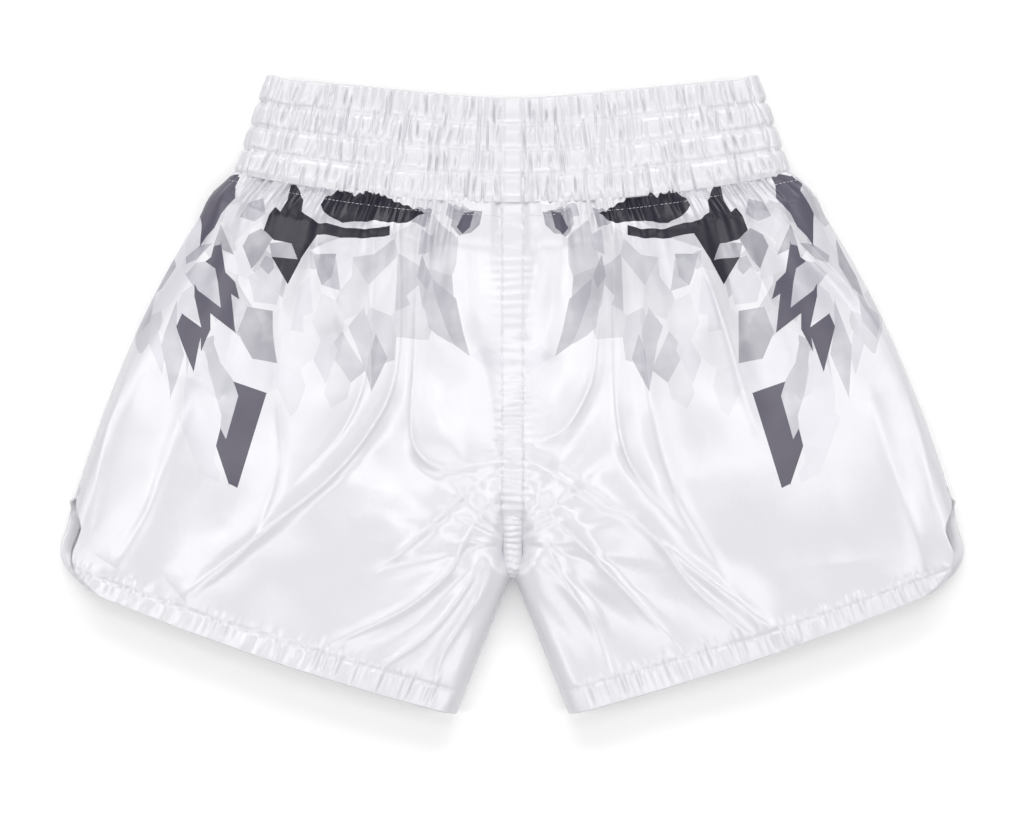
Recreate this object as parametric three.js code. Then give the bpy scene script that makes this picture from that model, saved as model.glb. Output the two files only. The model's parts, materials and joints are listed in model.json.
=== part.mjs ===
// Boxing shorts lying flat on their back, as separate sewn pieces.
// Millimetres. +X points to the wearer's left side, +Y to the waist and +Z up, away from the
// surface that the shorts lie on. The origin is on that surface, under the outline's middle.

import * as THREE from 'three';
import { mergeVertices } from 'three/addons/utils/BufferGeometryUtils.js';

// ---- Outline, one half ----
const WAIST_HALF_TOP = 178; // half width at the waistband's top edge
const WAIST_HALF_SEAM = 203; // half width at the waist seam
const WAISTBAND_CENTRE = 75.5; // waistband height at the centre
const WAISTBAND_SIDE = 70; // waistband height at the side folds
const WAIST_DIP = 21; // how far the waist seam dips at the centre
const FRONT_RISE = 269; // waist seam to crotch, down the centre
const SIDE_DROP = 264; // waist seam to the widest point, along Y
const THIGH_HALF = 324.4; // half width at the widest point
const SIDE_CURVE_OUT = 69; // the side curve's control point, out from the waist seam's end
const SIDE_CURVE_DOWN = 84; // and down from it
const HEM_CORNER_IN = 16.4; // outer hem corner, in from the widest point
const HEM_CORNER_DOWN = 34; // and down from it
const HEM_CORNER_ROUND = 18; // how far the side runs on before it turns into the corner
const INSEAM_OUT = 40; // inner hem corner, out from the crotch
const INSEAM_DOWN = 98.3; // and down from it
const HEM_BOW = 5.4; // how far the hem bows out between its corners

// ---- Thickness of the lying garment ----
const WAIST_HEIGHT = 32;
const BODY_HEIGHT = 36;
const HEM_HEIGHT = 28;
const BODY_RISES_BY = 0.25; // share of the panel over which the waist swells to full height
const BACK_LANDS_BY = 0.12; // share over which the back panel comes down to the surface

// ---- Cloth, thread and elastic ----
const CLOTH = 1; // satin with its loft
const STRIP_CLOTH = 1.6; // the doubled centre strip
const HEM_CLOTH = 2.2; // cloth turned up twice
const TAPE = 0.8; // an overlocked seam allowance or a facing
const GAP = 0.4; // between sewn pieces
const WAIST_GAP = 0.8; // below the waist seam
const FOLD_GAP = 0.8; // across the line that a leg folds on

// ---- Waistband ----
const CHANNELS = 4;
const PINCH = 2.2; // how deep each stitched row pulls the casing in
const ELASTIC_WIDTH = 14;
const ELASTIC = 1.5;
const LINING = 0.8;
const THREAD = 0.9;
const THREAD_SIDES = 6;
const TOP_FOLD = 1.6; // the casing turned over the top edge
const PUFF_POWER = 0.6; // below 1 makes fuller channels
const LABEL_WIDTH = 34;
const LABEL_LENGTH = 22;
const LABEL = 0.6;
const LABEL_ABOVE_SEAM = 22;

// ---- Body and legs ----
const STRIP_HALF = 8; // half width of the centre strip
const GUSSET_LENGTH = 40; // from the crotch up the centre strip
const FOLD_AT = 0.74; // where the leg's fold line meets the side curve
const CORNER_FROM = 0.7; // share of the leg's side edge before its corner
const LEG_APART = 0.4; // each leg's inner edge from the middle plane
const HEM_WIDTH = 17;
const SLIT_LENGTH = 58;
const SLIT_BACK_EDGE = 1.5; // the back edge of the slit is half way round the side fold
const INSEAM_AT = 3.5; // the inseam is half way round the inner fold
const ALLOWANCE_END = 0.02; // share of a panel that its seam allowance stops short by
const SLIT_RUN_IN = 0.1; // share of the leg over which the slit opens
const SEAM_ALLOWANCE = 8;
const BARTACK_LENGTH = 8;
const BARTACK_WIDTH = 3;
const BARTACK = 1.4;

// ---- How finely the surfaces are divided ----
const FLAT_STEPS = 6;
const ARC_STEPS = 8;
const ROW_STEPS = 12;
const PUFF_STEPS = [0, 0.2, 0.5, 0.8];

// ---- Points worked out from the sizes ----
const HALF_LENGTH = (WAISTBAND_SIDE + WAIST_DIP + FRONT_RISE + INSEAM_DOWN) / 2;
const SEAM_SIDE_Y = HALF_LENGTH - WAISTBAND_SIDE;
const SEAM_CENTRE_Y = SEAM_SIDE_Y - WAIST_DIP;
const CROTCH_Y = SEAM_CENTRE_Y - FRONT_RISE;

const waistEnd = new THREE.Vector2(WAIST_HALF_SEAM - PINCH, SEAM_SIDE_Y - WAIST_GAP);
const widest = new THREE.Vector2(THIGH_HALF, SEAM_SIDE_Y - SIDE_DROP);
const sideControl = new THREE.Vector2(
  WAIST_HALF_SEAM + SIDE_CURVE_OUT,
  SEAM_SIDE_Y - SIDE_CURVE_DOWN,
);
const hemOuter = new THREE.Vector2(widest.x - HEM_CORNER_IN, widest.y - HEM_CORNER_DOWN);
const hemInner = new THREE.Vector2(INSEAM_OUT, CROTCH_Y - INSEAM_DOWN);
const cornerControl = widest
  .clone()
  .sub(sideControl)
  .setLength(HEM_CORNER_ROUND)
  .add(widest);
const sideCurve = new THREE.QuadraticBezierCurve(waistEnd, sideControl, widest);
const cornerCurve = new THREE.QuadraticBezierCurve(widest, cornerControl, hemOuter);

// Each leg folds on a line from the crotch to the side, about parallel to its hem.
const foldOuter = sideCurve.getPoint(FOLD_AT);
const foldY = (x) => CROTCH_Y + ((foldOuter.y - CROTCH_Y) * x) / foldOuter.x;

const INSEAM_LENGTH = Math.hypot(INSEAM_OUT, INSEAM_DOWN);
const SIDE_LENGTH = foldOuter.distanceTo(widest) + widest.distanceTo(hemOuter);
const HEM_STARTS = 1 - HEM_WIDTH / INSEAM_LENGTH;
const SLIT_STARTS = 1 - SLIT_LENGTH / SIDE_LENGTH;

// A side fold is flat between its steps, so what lies inside it starts this much further in.
const FOLD_SAG = (BODY_HEIGHT / 2) * (1 - Math.cos(Math.PI / 2 / ARC_STEPS));
const TAPE_INSET = CLOTH + GAP + FOLD_SAG;

const { lerp } = THREE.MathUtils;
const smooth = (x) => THREE.MathUtils.smoothstep(x, 0, 1);

// ---- Materials ----
const finish = (color, roughness) =>
  new THREE.MeshStandardMaterial({ color, roughness, metalness: 0 });
const satin = finish(0xececf1, 0.35);
const liningCloth = finish(0xe2e2e8, 0.6);
const elasticWeave = finish(0xd8d8de, 0.8);
const sewingThread = finish(0xf4f4f6, 0.5);
const labelWeave = finish(0xd9dbe2, 0.7);

const shorts = new THREE.Group();

function addPiece(name, geometry, material) {
  const mesh = new THREE.Mesh(facingOut(geometry), material);
  mesh.name = name;
  shorts.add(mesh);
}

// Welds a shape and turns its faces outwards, which a mirrored half needs.
function facingOut(geometry) {
  geometry.deleteAttribute('normal');
  geometry.deleteAttribute('uv');
  const welded = mergeVertices(geometry, 1e-5);
  const position = welded.getAttribute('position');
  const index = welded.getIndex();
  const [a, b, c] = [new THREE.Vector3(), new THREE.Vector3(), new THREE.Vector3()];
  let volume = 0;
  for (let i = 0; i < index.count; i += 3) {
    a.fromBufferAttribute(position, index.getX(i));
    b.fromBufferAttribute(position, index.getX(i + 1));
    c.fromBufferAttribute(position, index.getX(i + 2));
    volume += a.dot(b.cross(c));
  }
  if (volume < 0) {
    for (let i = 0; i < index.count; i += 3) {
      const first = index.getX(i);
      index.setX(i, index.getX(i + 1));
      index.setX(i + 1, first);
    }
  }
  welded.computeVertexNormals();
  return welded;
}

// A sheet of cloth: place(u, v, depth) puts each point of a flat grid, where u and v run
// from 0 to 1 across and down it, and depth is 0 on its outer face and 1 on its inner face.
function sheet(columns, rows, place) {
  const geometry = new THREE.BoxGeometry(1, 1, 1, columns, rows, 1);
  const position = geometry.getAttribute('position');
  for (let i = 0; i < position.count; i += 1) {
    const u = position.getX(i) + 0.5;
    const v = 0.5 - position.getY(i);
    const depth = 0.5 - position.getZ(i);
    position.setXYZ(i, ...place(u, v, depth));
  }
  return geometry;
}

// ---- Waistband rings ----
// A ring's outline is a flat front and back joined by half-round side folds. step counts
// round it from the centre front towards +X, and inset is the distance in from its outside.
const RING_STEPS = 4 * FLAT_STEPS + 2 * ARC_STEPS;

function ringPoint(step, half, inset) {
  const radius = WAIST_HEIGHT / 2;
  const flat = half - radius;
  const quarter = FLAT_STEPS + ARC_STEPS / 2;
  const mirrored = step > 2 * quarter;
  const along = mirrored ? RING_STEPS - step : step;
  const side = mirrored ? -1 : 1;
  if (along <= FLAT_STEPS) {
    return [(side * flat * along) / FLAT_STEPS, WAIST_HEIGHT - inset];
  }
  if (along <= FLAT_STEPS + ARC_STEPS) {
    const angle = Math.PI * (0.5 - (along - FLAT_STEPS) / ARC_STEPS);
    const x = flat + (radius - inset) * Math.cos(angle);
    return [side * x, radius + (radius - inset) * Math.sin(angle)];
  }
  const left = 2 * quarter - along;
  return [(side * flat * left) / FLAT_STEPS, inset];
}

// profile is a closed list of [inset, height], where height is 0 at the waist seam and 1 at
// the top edge.
function waistRing(profile) {
  const closed = [...profile, profile[0]];
  const points = closed.map(([inset, height]) => new THREE.Vector2(WAIST_HEIGHT - inset, height));
  const geometry = new THREE.LatheGeometry(points, RING_STEPS);
  const position = geometry.getAttribute('position');
  for (let i = 0; i < position.count; i += 1) {
    const step = Math.floor(i / closed.length) % RING_STEPS;
    const [inset, height] = closed[i % closed.length];
    const half = lerp(WAIST_HALF_SEAM, WAIST_HALF_TOP, height);
    const [x, z] = ringPoint(step, half, inset);
    const centre = SEAM_CENTRE_Y + height * WAISTBAND_CENTRE;
    const side = SEAM_SIDE_Y + height * WAISTBAND_SIDE;
    const share = x / half;
    position.setXYZ(i, x, lerp(centre, side, share * share), z);
  }
  return geometry;
}

const LINING_INSET = PINCH + CLOTH + GAP + ELASTIC + GAP;
const WAIST_THICKNESS = LINING_INSET + LINING;
const topFold = TOP_FOLD / WAISTBAND_SIDE;

function casingInset(height) {
  const channel = (height * CHANNELS) % 1;
  return PINCH * (1 - Math.sin(Math.PI * channel) ** PUFF_POWER);
}

function waistband() {
  const heights = [];
  for (let channel = 0; channel < CHANNELS; channel += 1) {
    PUFF_STEPS.forEach((part) => heights.push((channel + part) / CHANNELS));
  }
  const outside = [...heights.map((h) => [casingInset(h), h]), [PINCH, 1]];
  const inside = heights
    .map((h) => [casingInset(h) + CLOTH, h])
    .concat([[PINCH + CLOTH, 1 - topFold]])
    .reverse();
  const over = [
    [WAIST_THICKNESS, 1],
    [WAIST_THICKNESS, 1 - topFold],
  ];
  addPiece('waistband_casing', waistRing([...outside, ...over, ...inside]), satin);

  const liningTop = 1 - topFold - GAP / WAISTBAND_SIDE;
  const lining = band(LINING_INSET, LINING, 0, liningTop);
  addPiece('waistband_lining', waistRing(lining), liningCloth);

  const pitch = 1 / CHANNELS;
  const halfElastic = ELASTIC_WIDTH / WAISTBAND_SIDE / 2;
  for (let channel = 0; channel < CHANNELS; channel += 1) {
    const middle = (channel + 0.5) * pitch;
    const profile = band(PINCH + CLOTH + GAP, ELASTIC, middle - halfElastic, middle + halfElastic);
    addPiece(`elastic_band_${channel + 1}`, waistRing(profile), elasticWeave);
  }
  for (let row = 1; row < CHANNELS; row += 1) {
    addPiece(`waistband_stitch_${row}`, waistRing(threadProfile(row * pitch)), sewingThread);
  }

  const labelLow = SEAM_CENTRE_Y + LABEL_ABOVE_SEAM;
  const label = sheet(1, 1, (u, v, depth) => [
    LABEL_WIDTH * (u - 0.5),
    labelLow + LABEL_LENGTH * (1 - v),
    WAIST_THICKNESS + GAP + LABEL * (1 - depth),
  ]);
  addPiece('size_label', label, labelWeave);
}

function band(inset, thickness, low, high) {
  return [
    [inset, low],
    [inset, high],
    [inset + thickness, high],
    [inset + thickness, low],
  ];
}

// A stitched row lies in the valley between two channels.
function threadProfile(height) {
  const radius = THREAD / 2;
  const inset = PINCH - GAP - radius;
  return Array.from({ length: THREAD_SIDES }, (_, i) => {
    const angle = (-2 * Math.PI * i) / THREAD_SIDES;
    const up = (radius * Math.sin(angle)) / WAISTBAND_SIDE;
    return [inset + radius * Math.cos(angle), height + up];
  });
}

// ---- Rows across one half of the body ----
// A row is a cross section of one half: a front and a back, joined by a half-round side fold
// and, on a leg, by an inner fold.
function hipRow(v) {
  const innerX = STRIP_HALF + GAP;
  const innerTop = SEAM_CENTRE_Y - WAIST_GAP;
  const lift = (FOLD_GAP / 2) * v;
  const inner = new THREE.Vector2(innerX, lerp(innerTop, foldY(innerX), v) + lift);
  const outer = sideCurve.getPoint(FOLD_AT * v).add(new THREE.Vector2(0, lift));
  const waistHigh = WAIST_HEIGHT - PINCH;
  return {
    inner,
    outer,
    low: PINCH * (1 - smooth(v / BACK_LANDS_BY)),
    high: lerp(waistHigh, BODY_HEIGHT, smooth(v / BODY_RISES_BY)),
    bow: (WAIST_DIP / 4) * (1 - v),
    innerFold: false,
  };
}

function legRow(v) {
  const drop = (FOLD_GAP / 2) * (1 - v);
  const inner = new THREE.Vector2(LEG_APART, foldY(LEG_APART)).lerp(hemInner, v);
  const corner = (v - CORNER_FROM) / (1 - CORNER_FROM);
  const outer =
    corner > 0
      ? cornerCurve.getPoint(corner)
      : sideCurve.getPoint(lerp(FOLD_AT, 1, v / CORNER_FROM));
  return {
    inner: inner.add(new THREE.Vector2(0, -drop)),
    outer: outer.add(new THREE.Vector2(0, -drop)),
    low: 0,
    high: lerp(BODY_HEIGHT, HEM_HEIGHT, smooth(v)),
    bow: HEM_BOW * v,
    innerFold: true,
  };
}

// around runs 0 to 1 over the front, 1 to 2 round the side fold, 2 to 3 over the back and 3
// to 4 round the inner fold. Below 0 it runs back into the inner fold. inset is in mm.
function pointOnRow(row, around, inset) {
  const radius = (row.high - row.low) / 2;
  const middle = (row.high + row.low) / 2;
  const length = row.inner.distanceTo(row.outer);
  const start = row.innerFold ? radius : 0;
  const end = length - radius;
  const turn = around < 0 ? around + 4 : around;
  let along;
  let z;
  if (turn <= 1) {
    along = lerp(start, end, turn);
    z = row.high - inset;
  } else if (turn <= 2) {
    const angle = Math.PI * (1.5 - turn);
    along = end + (radius - inset) * Math.cos(angle);
    z = middle + (radius - inset) * Math.sin(angle);
  } else if (turn <= 3) {
    along = lerp(end, start, turn - 2);
    z = row.low + inset;
  } else {
    const angle = Math.PI * (2.5 - turn);
    along = start + (radius - inset) * Math.cos(angle);
    z = middle + (radius - inset) * Math.sin(angle);
  }
  const share = along / length;
  const point = row.inner.clone().lerp(row.outer, share);
  return [point.x, point.y - row.bow * 4 * share * (1 - share), z];
}

const frontLength = (row) => row.inner.distanceTo(row.outer) - (row.high - row.low) / 2;
const foldLength = (row) => (Math.PI * (row.high - row.low)) / 2;

// Splits u between stretches, each [end of u, around there], so that edges fall on the seams.
function stretch(u, stops) {
  const index = Math.max(1, stops.findIndex(([end]) => u <= end + 1e-9));
  const [fromU, from] = stops[index - 1];
  const [toU, to] = stops[index];
  return lerp(from, to, (u - fromU) / (toU - fromU));
}

function half(side, rowAt, [vFrom, vTo], aroundAt, [insetFrom, thickness], columns, rows) {
  return sheet(columns, rows, (u, v, depth) => {
    const down = lerp(vFrom, vTo, v);
    const row = rowAt(down);
    const inset = insetFrom + thickness * depth;
    const [x, y, z] = pointOnRow(row, aroundAt(u, row, down), inset);
    return [side * x, y, z];
  });
}

// ---- Hips ----
function hips(side, name) {
  const columns = FLAT_STEPS + ARC_STEPS;
  const split = ARC_STEPS / columns;
  const cloth = [0, CLOTH];
  const tape = [TAPE_INSET, TAPE];
  const front = half(side, hipRow, [0, 1], (u) => u, cloth, FLAT_STEPS, ROW_STEPS);
  addPiece(`front_panel_${name}`, front, satin);

  const wraps = (u, row) => stretch(u, [[0, 1 + GAP / foldLength(row)], [split, 2], [1, 3]]);
  const back = half(side, hipRow, [0, 1], wraps, cloth, columns, ROW_STEPS);
  addPiece(`back_panel_${name}`, back, satin);

  const span = [ALLOWANCE_END, 1 - ALLOWANCE_END];
  const seam = half(side, hipRow, span, seamAround, tape, 2, ROW_STEPS);
  addPiece(`side_seam_${name}`, seam, liningCloth);
}

// A seam allowance lies half on the front and half on the side fold.
function seamAround(u, row) {
  const reach = SEAM_ALLOWANCE / 2;
  const stops = [[0, 1 - reach / frontLength(row)], [0.5, 1], [1, 1 + reach / foldLength(row)]];
  return stretch(u, stops);
}

function centreStrip(name, faceZ) {
  const high = SEAM_CENTRE_Y - WAIST_GAP;
  const low = CROTCH_Y + GUSSET_LENGTH + GAP;
  const strip = sheet(2, ROW_STEPS, (u, v, depth) => {
    const y = lerp(high, low, v);
    const share = (high - y) / (high - foldY(STRIP_HALF + GAP));
    return [STRIP_HALF * (2 * u - 1), y, faceZ(hipRow(share), STRIP_CLOTH * depth)];
  });
  addPiece(name, strip, satin);
}

// The gusset runs down the front of the crotch, round its lowest point and up the back.
function gusset() {
  const top = CROTCH_Y + GUSSET_LENGTH;
  const radius = BODY_HEIGHT / 2;
  const lowest = foldY(STRIP_HALF) + FOLD_GAP / 2 + GAP;
  const turnY = lowest + radius;
  const rows = ARC_STEPS + 2;
  const shape = sheet(2, rows, (u, v, depth) => {
    const x = STRIP_HALF * (2 * u - 1);
    const inset = STRIP_CLOTH * depth;
    const step = Math.round(v * rows);
    if (step === 0) return [x, top, BODY_HEIGHT - inset];
    if (step === rows) return [x, top, inset];
    const angle = Math.PI * (0.5 - (step - 1) / ARC_STEPS);
    const reach = radius - inset;
    return [x, turnY - reach * Math.cos(angle), radius + reach * Math.sin(angle)];
  });
  addPiece('crotch_gusset', shape, satin);
}

// ---- Legs ----
const INNER_STEPS = ARC_STEPS - 2;

function frontAround(u, row) {
  const split = INNER_STEPS / (INNER_STEPS + FLAT_STEPS);
  const edge = INSEAM_AT - 4 + GAP / foldLength(row);
  return stretch(u, [[0, edge], [split, 0], [1, 1]]);
}

function backAround(u, row, v) {
  const columns = ARC_STEPS + FLAT_STEPS + INNER_STEPS;
  const seam = 1 + GAP / foldLength(row);
  const from = v > SLIT_STARTS ? SLIT_BACK_EDGE : seam;
  const stops = [[0, from], [ARC_STEPS / columns, 2]];
  stops.push([(ARC_STEPS + FLAT_STEPS) / columns, 3], [1, INSEAM_AT - GAP / foldLength(row)]);
  return stretch(u, stops);
}

function leg(side, name) {
  const cloth = [0, CLOTH];
  const hemCloth = [0, HEM_CLOTH];
  const tape = [TAPE_INSET, TAPE];
  const panel = [0, HEM_STARTS - GAP / INSEAM_LENGTH];
  const hem = [HEM_STARTS, 1];
  const frontColumns = INNER_STEPS + FLAT_STEPS;
  const backColumns = ARC_STEPS + FLAT_STEPS + INNER_STEPS;
  const legHalf = (...rest) => half(side, legRow, ...rest);

  addPiece(`leg_front_${name}`, legHalf(panel, frontAround, cloth, frontColumns, ROW_STEPS), satin);
  addPiece(`leg_back_${name}`, legHalf(panel, backAround, cloth, backColumns, ROW_STEPS), satin);
  addPiece(`front_hem_${name}`, legHalf(hem, frontAround, hemCloth, frontColumns, 2), satin);
  addPiece(`back_hem_${name}`, legHalf(hem, backAround, hemCloth, backColumns, 2), satin);

  const inseamAround = (u, row) =>
    INSEAM_AT + ((u - 0.5) * SEAM_ALLOWANCE) / foldLength(row);
  const inseamSpan = [ALLOWANCE_END, HEM_STARTS - ALLOWANCE_END];
  const inseam = legHalf(inseamSpan, inseamAround, tape, 2, ROW_STEPS);
  addPiece(`inseam_${name}`, inseam, liningCloth);
  const sideSpan = [ALLOWANCE_END, SLIT_STARTS - SLIT_RUN_IN];
  const sideSeam = legHalf(sideSpan, seamAround, tape, 2, ROW_STEPS / 2);
  addPiece(`leg_side_seam_${name}`, sideSeam, liningCloth);

  const slit = [SLIT_STARTS + SLIT_RUN_IN, HEM_STARTS - ALLOWANCE_END];
  const facingFront = (u, row) => 1 - ((1 - u) * SEAM_ALLOWANCE) / frontLength(row);
  const facingBack = (u, row) => SLIT_BACK_EDGE + (u * SEAM_ALLOWANCE) / foldLength(row);
  const flatTape = [CLOTH + GAP, TAPE];
  const frontFacing = legHalf(slit, facingFront, flatTape, 1, ROW_STEPS / 2);
  addPiece(`slit_facing_front_${name}`, frontFacing, liningCloth);
  const backFacing = legHalf(slit, facingBack, tape, 2, ROW_STEPS / 2);
  addPiece(`slit_facing_back_${name}`, backFacing, liningCloth);

  // The bartack lies across the seam, outside both layers, where the slit starts.
  const halfWidth = BARTACK_WIDTH / 2 / SIDE_LENGTH;
  const span = [SLIT_STARTS - halfWidth, SLIT_STARTS + halfWidth];
  const across = (u, row) => {
    const out = (u - 0.5) * BARTACK_LENGTH;
    return 1 + out / (out < 0 ? frontLength(row) : foldLength(row));
  };
  const bartack = legHalf(span, across, [-GAP - BARTACK, BARTACK], 2, 1);
  addPiece(`slit_bartack_${name}`, bartack, sewingThread);
}

waistband();
centreStrip('front_centre_strip', (row, inset) => row.high - inset);
centreStrip('back_centre_strip', (row, inset) => row.low + inset);
gusset();
for (const [name, side] of [['left', 1], ['right', -1]]) {
  hips(side, name);
  leg(side, name);
}

export default shorts;
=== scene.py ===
# %% [markdown]
# # Boxing shorts, laid flat
# These shorts are sewn from thin satin, and lie on their back with some air in them. The frame
# gives the plain solids: where the waistband, the panels and the hems are, and the line that
# each leg folds on. The cells below lay real cloth over them, piece by piece.

# %% Load the frame
import json
import math
import bpy
import numpy as np
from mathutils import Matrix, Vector


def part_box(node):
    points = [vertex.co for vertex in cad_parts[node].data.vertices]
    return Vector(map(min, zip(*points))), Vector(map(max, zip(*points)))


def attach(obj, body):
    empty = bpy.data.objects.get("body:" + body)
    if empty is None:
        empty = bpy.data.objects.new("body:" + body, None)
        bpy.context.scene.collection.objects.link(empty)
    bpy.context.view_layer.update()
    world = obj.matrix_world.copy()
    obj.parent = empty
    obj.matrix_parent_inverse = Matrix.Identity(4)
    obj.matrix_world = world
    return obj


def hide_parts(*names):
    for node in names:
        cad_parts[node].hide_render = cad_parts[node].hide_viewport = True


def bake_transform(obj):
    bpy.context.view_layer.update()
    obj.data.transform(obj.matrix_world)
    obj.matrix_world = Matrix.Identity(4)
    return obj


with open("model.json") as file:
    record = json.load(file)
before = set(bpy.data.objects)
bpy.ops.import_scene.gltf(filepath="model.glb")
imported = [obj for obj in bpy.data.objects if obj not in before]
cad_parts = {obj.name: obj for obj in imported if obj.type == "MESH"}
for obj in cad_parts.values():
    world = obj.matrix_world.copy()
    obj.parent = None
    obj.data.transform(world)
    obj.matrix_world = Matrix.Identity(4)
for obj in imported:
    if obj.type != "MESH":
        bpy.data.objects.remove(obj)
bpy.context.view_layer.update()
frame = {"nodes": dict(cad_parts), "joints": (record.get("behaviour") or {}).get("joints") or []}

# %% [markdown]
# ## Sizes
# Every size is in millimetres until a mesh is made. The places come from the frame's own
# boxes and from the hinge that each leg folds on, so the cloth follows the solids if they
# change. Only shapes that a box can't tell, such as how a side curves, are set here.

# %% Sizes from the frame
MM = 0.001


def box_mm(node):
    low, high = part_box(node)
    return np.array(low) / MM, np.array(high) / MM


casing_low, casing_high = box_mm("waistband_casing")
hem_low, hem_high = box_mm("front_hem_left")
leg_high = box_mm("leg_back_left")[1]
strip_high = box_mm("front_centre_strip")[1]
lift = next(j for j in frame["joints"] if j["name"] == "leg_left_lift")

CROTCH_Y = lift["pos_m"][1] / MM
BODY_HIGH = lift["pos_m"][2] / MM
WAIST_HIGH = casing_high[2]
HEM_HIGH = hem_high[2]
SEAM_CENTRE_Y = casing_low[1]
TOP_SIDE_Y = casing_high[1]
STRIP_HALF = strip_high[0]
INSEAM_OUT = 40  # the hem's inner corner, out from the centre
HEM_INNER = np.array([INSEAM_OUT, hem_low[1]])

# %% Sizes of the cut and the cloth
WAIST_HALF_SEAM = 203  # half width at the waist seam
WAIST_HALF_TOP = 178  # and at the waistband's top edge
WAISTBAND_CENTRE = 75.5
WAIST_DIP = 21  # how far the waist seam dips at the centre
PINCH = 2.2  # how deep each stitched row pulls the waistband in
CHANNELS = 4
HEM_BOW = 5.4  # how far the hem bows out between its corners
HEM_WIDTH = 17
SEAM_SIDE_Y = SEAM_CENTRE_Y + WAIST_DIP
print("waist seam at the side, mm:", round(SEAM_SIDE_Y, 1), "quick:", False)

# %% [markdown]
# ## The camera, the floor and the light
# The shorts are seen from straight above. Satin shows its folds only by what they mirror, so
# four long soft lights stand high around the view. A low one beyond the waist throws the
# short shadow under the hems, and three weak ones and a pale sky fill the rest. The floor is
# a matt sheet with a faint painted glow, which lightens the shadows on it.

# %% Camera
CAMERA_PLACE = (-0.0004, -0.0108, 1.757)
LENS = 85
SENSOR = 36
scene = bpy.context.scene
camera_data = bpy.data.cameras.new("overhead_camera")
camera_data.lens = LENS
camera_data.sensor_width = SENSOR
camera = bpy.data.objects.new("overhead_camera", camera_data)
scene.collection.objects.link(camera)
camera.location = CAMERA_PLACE
scene.camera = camera
scene.view_settings.view_transform = "Standard"
print("camera", CAMERA_PLACE[2], "m above the floor")

# %% Floor
FLOOR_HALF = 3.0
FLOOR_DROP = 0.0005  # keeps the cloth and the floor from sharing a plane
FLOOR_GREY = 0.94
FLOOR_PAINTED_GLOW = 0.07  # a little painted light of its own, which lightens the shadows on the floor
bpy.ops.object.select_all(action="DESELECT")
bpy.ops.mesh.primitive_plane_add(size=2 * FLOOR_HALF, location=(0, 0, -FLOOR_DROP))
floor = bpy.context.object
floor.name = "floor"
bpy.ops.object.transform_apply(location=True)
floor_paint = bpy.data.materials.new("pale_floor")
floor_paint.use_nodes = True
floor_shader = floor_paint.node_tree.nodes["Principled BSDF"]
floor_shader.inputs["Base Color"].default_value = (FLOOR_GREY, FLOOR_GREY, FLOOR_GREY, 1)
floor_shader.inputs["Roughness"].default_value = 0.9
floor_shader.inputs["Specular IOR Level"].default_value = 0.1
# The floor's glow is painted light: it lightens the shadows round the shorts.
floor_shader.inputs["Emission Color"].default_value = (1, 1, 1, 1)
floor_shader.inputs["Emission Strength"].default_value = FLOOR_PAINTED_GLOW
floor.data.materials.append(floor_paint)
print("floor", 2 * FLOOR_HALF, "m wide")


# %% Lights
def softbox(name, place, aim, size, watts):
    data = bpy.data.lights.new(name, "AREA")
    data.shape = "RECTANGLE"
    data.size, data.size_y = size
    data.energy = watts
    lamp = bpy.data.objects.new(name, data)
    scene.collection.objects.link(lamp)
    lamp.location = place
    direction = Vector(aim) - Vector(place)
    lamp.rotation_euler = direction.to_track_quat("-Z", "Y").to_euler()


# The four high ones stand just outside the camera's view of itself, so that cloth tilted by a
# few degrees mirrors them; the low one beyond the waist throws the shadow under the hems.
# Each has its place, the point it faces, its width and length in metres, and its watts.
SOFTBOXES = {
    "high_top_softbox": ((0, 0.8, 2.1), (0, 0, 0), (1.6, 0.4), 5.6),
    "high_left_softbox": ((-0.86, -0.05, 2.1), (0, 0, 0), (0.34, 2.0), 9.6),
    "high_right_softbox": ((0.86, -0.05, 2.1), (0, 0, 0), (0.34, 2.0), 8.4),
    "high_near_softbox": ((0, -0.95, 2.1), (0, -0.1, 0), (2.0, 0.34), 9.0),
    "low_top_softbox": ((0, 1.9, 1.6), (0, 0, 0), (2.4, 0.8), 27),
    "low_near_softbox": ((0, -2.1, 1.7), (0, -0.2, 0), (2.6, 0.8), 5),
    "low_left_softbox": ((-2.3, -0.2, 1.6), (0, 0, 0), (0.8, 2.0), 8),
    "low_right_softbox": ((2.3, -0.2, 1.6), (0, 0, 0), (0.8, 2.0), 8),
}
for name, (place, aim, size, watts) in SOFTBOXES.items():
    softbox(name, place, aim, size, watts)
print(len(SOFTBOXES), "lights,", round(sum(light[3] for light in SOFTBOXES.values()), 1), "W")

# %% Sky
SKY = 0.21
world = scene.world or bpy.data.worlds.new("studio")
scene.world = world
world.use_nodes = True
world.node_tree.nodes["Background"].inputs["Color"].default_value = (1.0, 1.0, 1.0, 1)
world.node_tree.nodes["Background"].inputs["Strength"].default_value = SKY
print("sky strength", SKY)

# %% [markdown]
# ## The outline
# Half of the shorts is a stack of rows, from the waist seam down to the hem. Each row runs
# from an inner edge, which goes down the centre and then along the inseam, to an outer edge,
# which follows the side. On every row the cloth goes over the front, round the side fold and
# back underneath, so one pair of numbers, the row and the place on it, finds any point.

# %% Rows
FOLD_ROW = 0.7  # where the leg folds, from the waist seam at 0 to the hem at 1
LEG_START = 0.74  # the same place along the side curve
CORNER_ROW = 0.91  # where the side turns into the hem corner
CORNER_RUN = 18  # how far the side runs on before it turns into the corner
SIDE_CONTROL = np.array([WAIST_HALF_SEAM + 69, SEAM_SIDE_Y - 84])
WIDEST = np.array([leg_high[0] - 0.9, SEAM_SIDE_Y - 264])
HEM_OUTER = WIDEST + np.array([-16.4, -34])
SIDE_WAY = (WIDEST - SIDE_CONTROL) / np.linalg.norm(WIDEST - SIDE_CONTROL)
CORNER_CONTROL = WIDEST + SIDE_WAY * CORNER_RUN
CROTCH_HALF = 1.2  # the panels' inner edge at the crotch, out from the centre
STRIP_END_ROW = 0.64  # the inner edge leaves the centre strip here
CLOSING_ROW = 0.53  # from here down the panels' inner edges close round a leg
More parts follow.
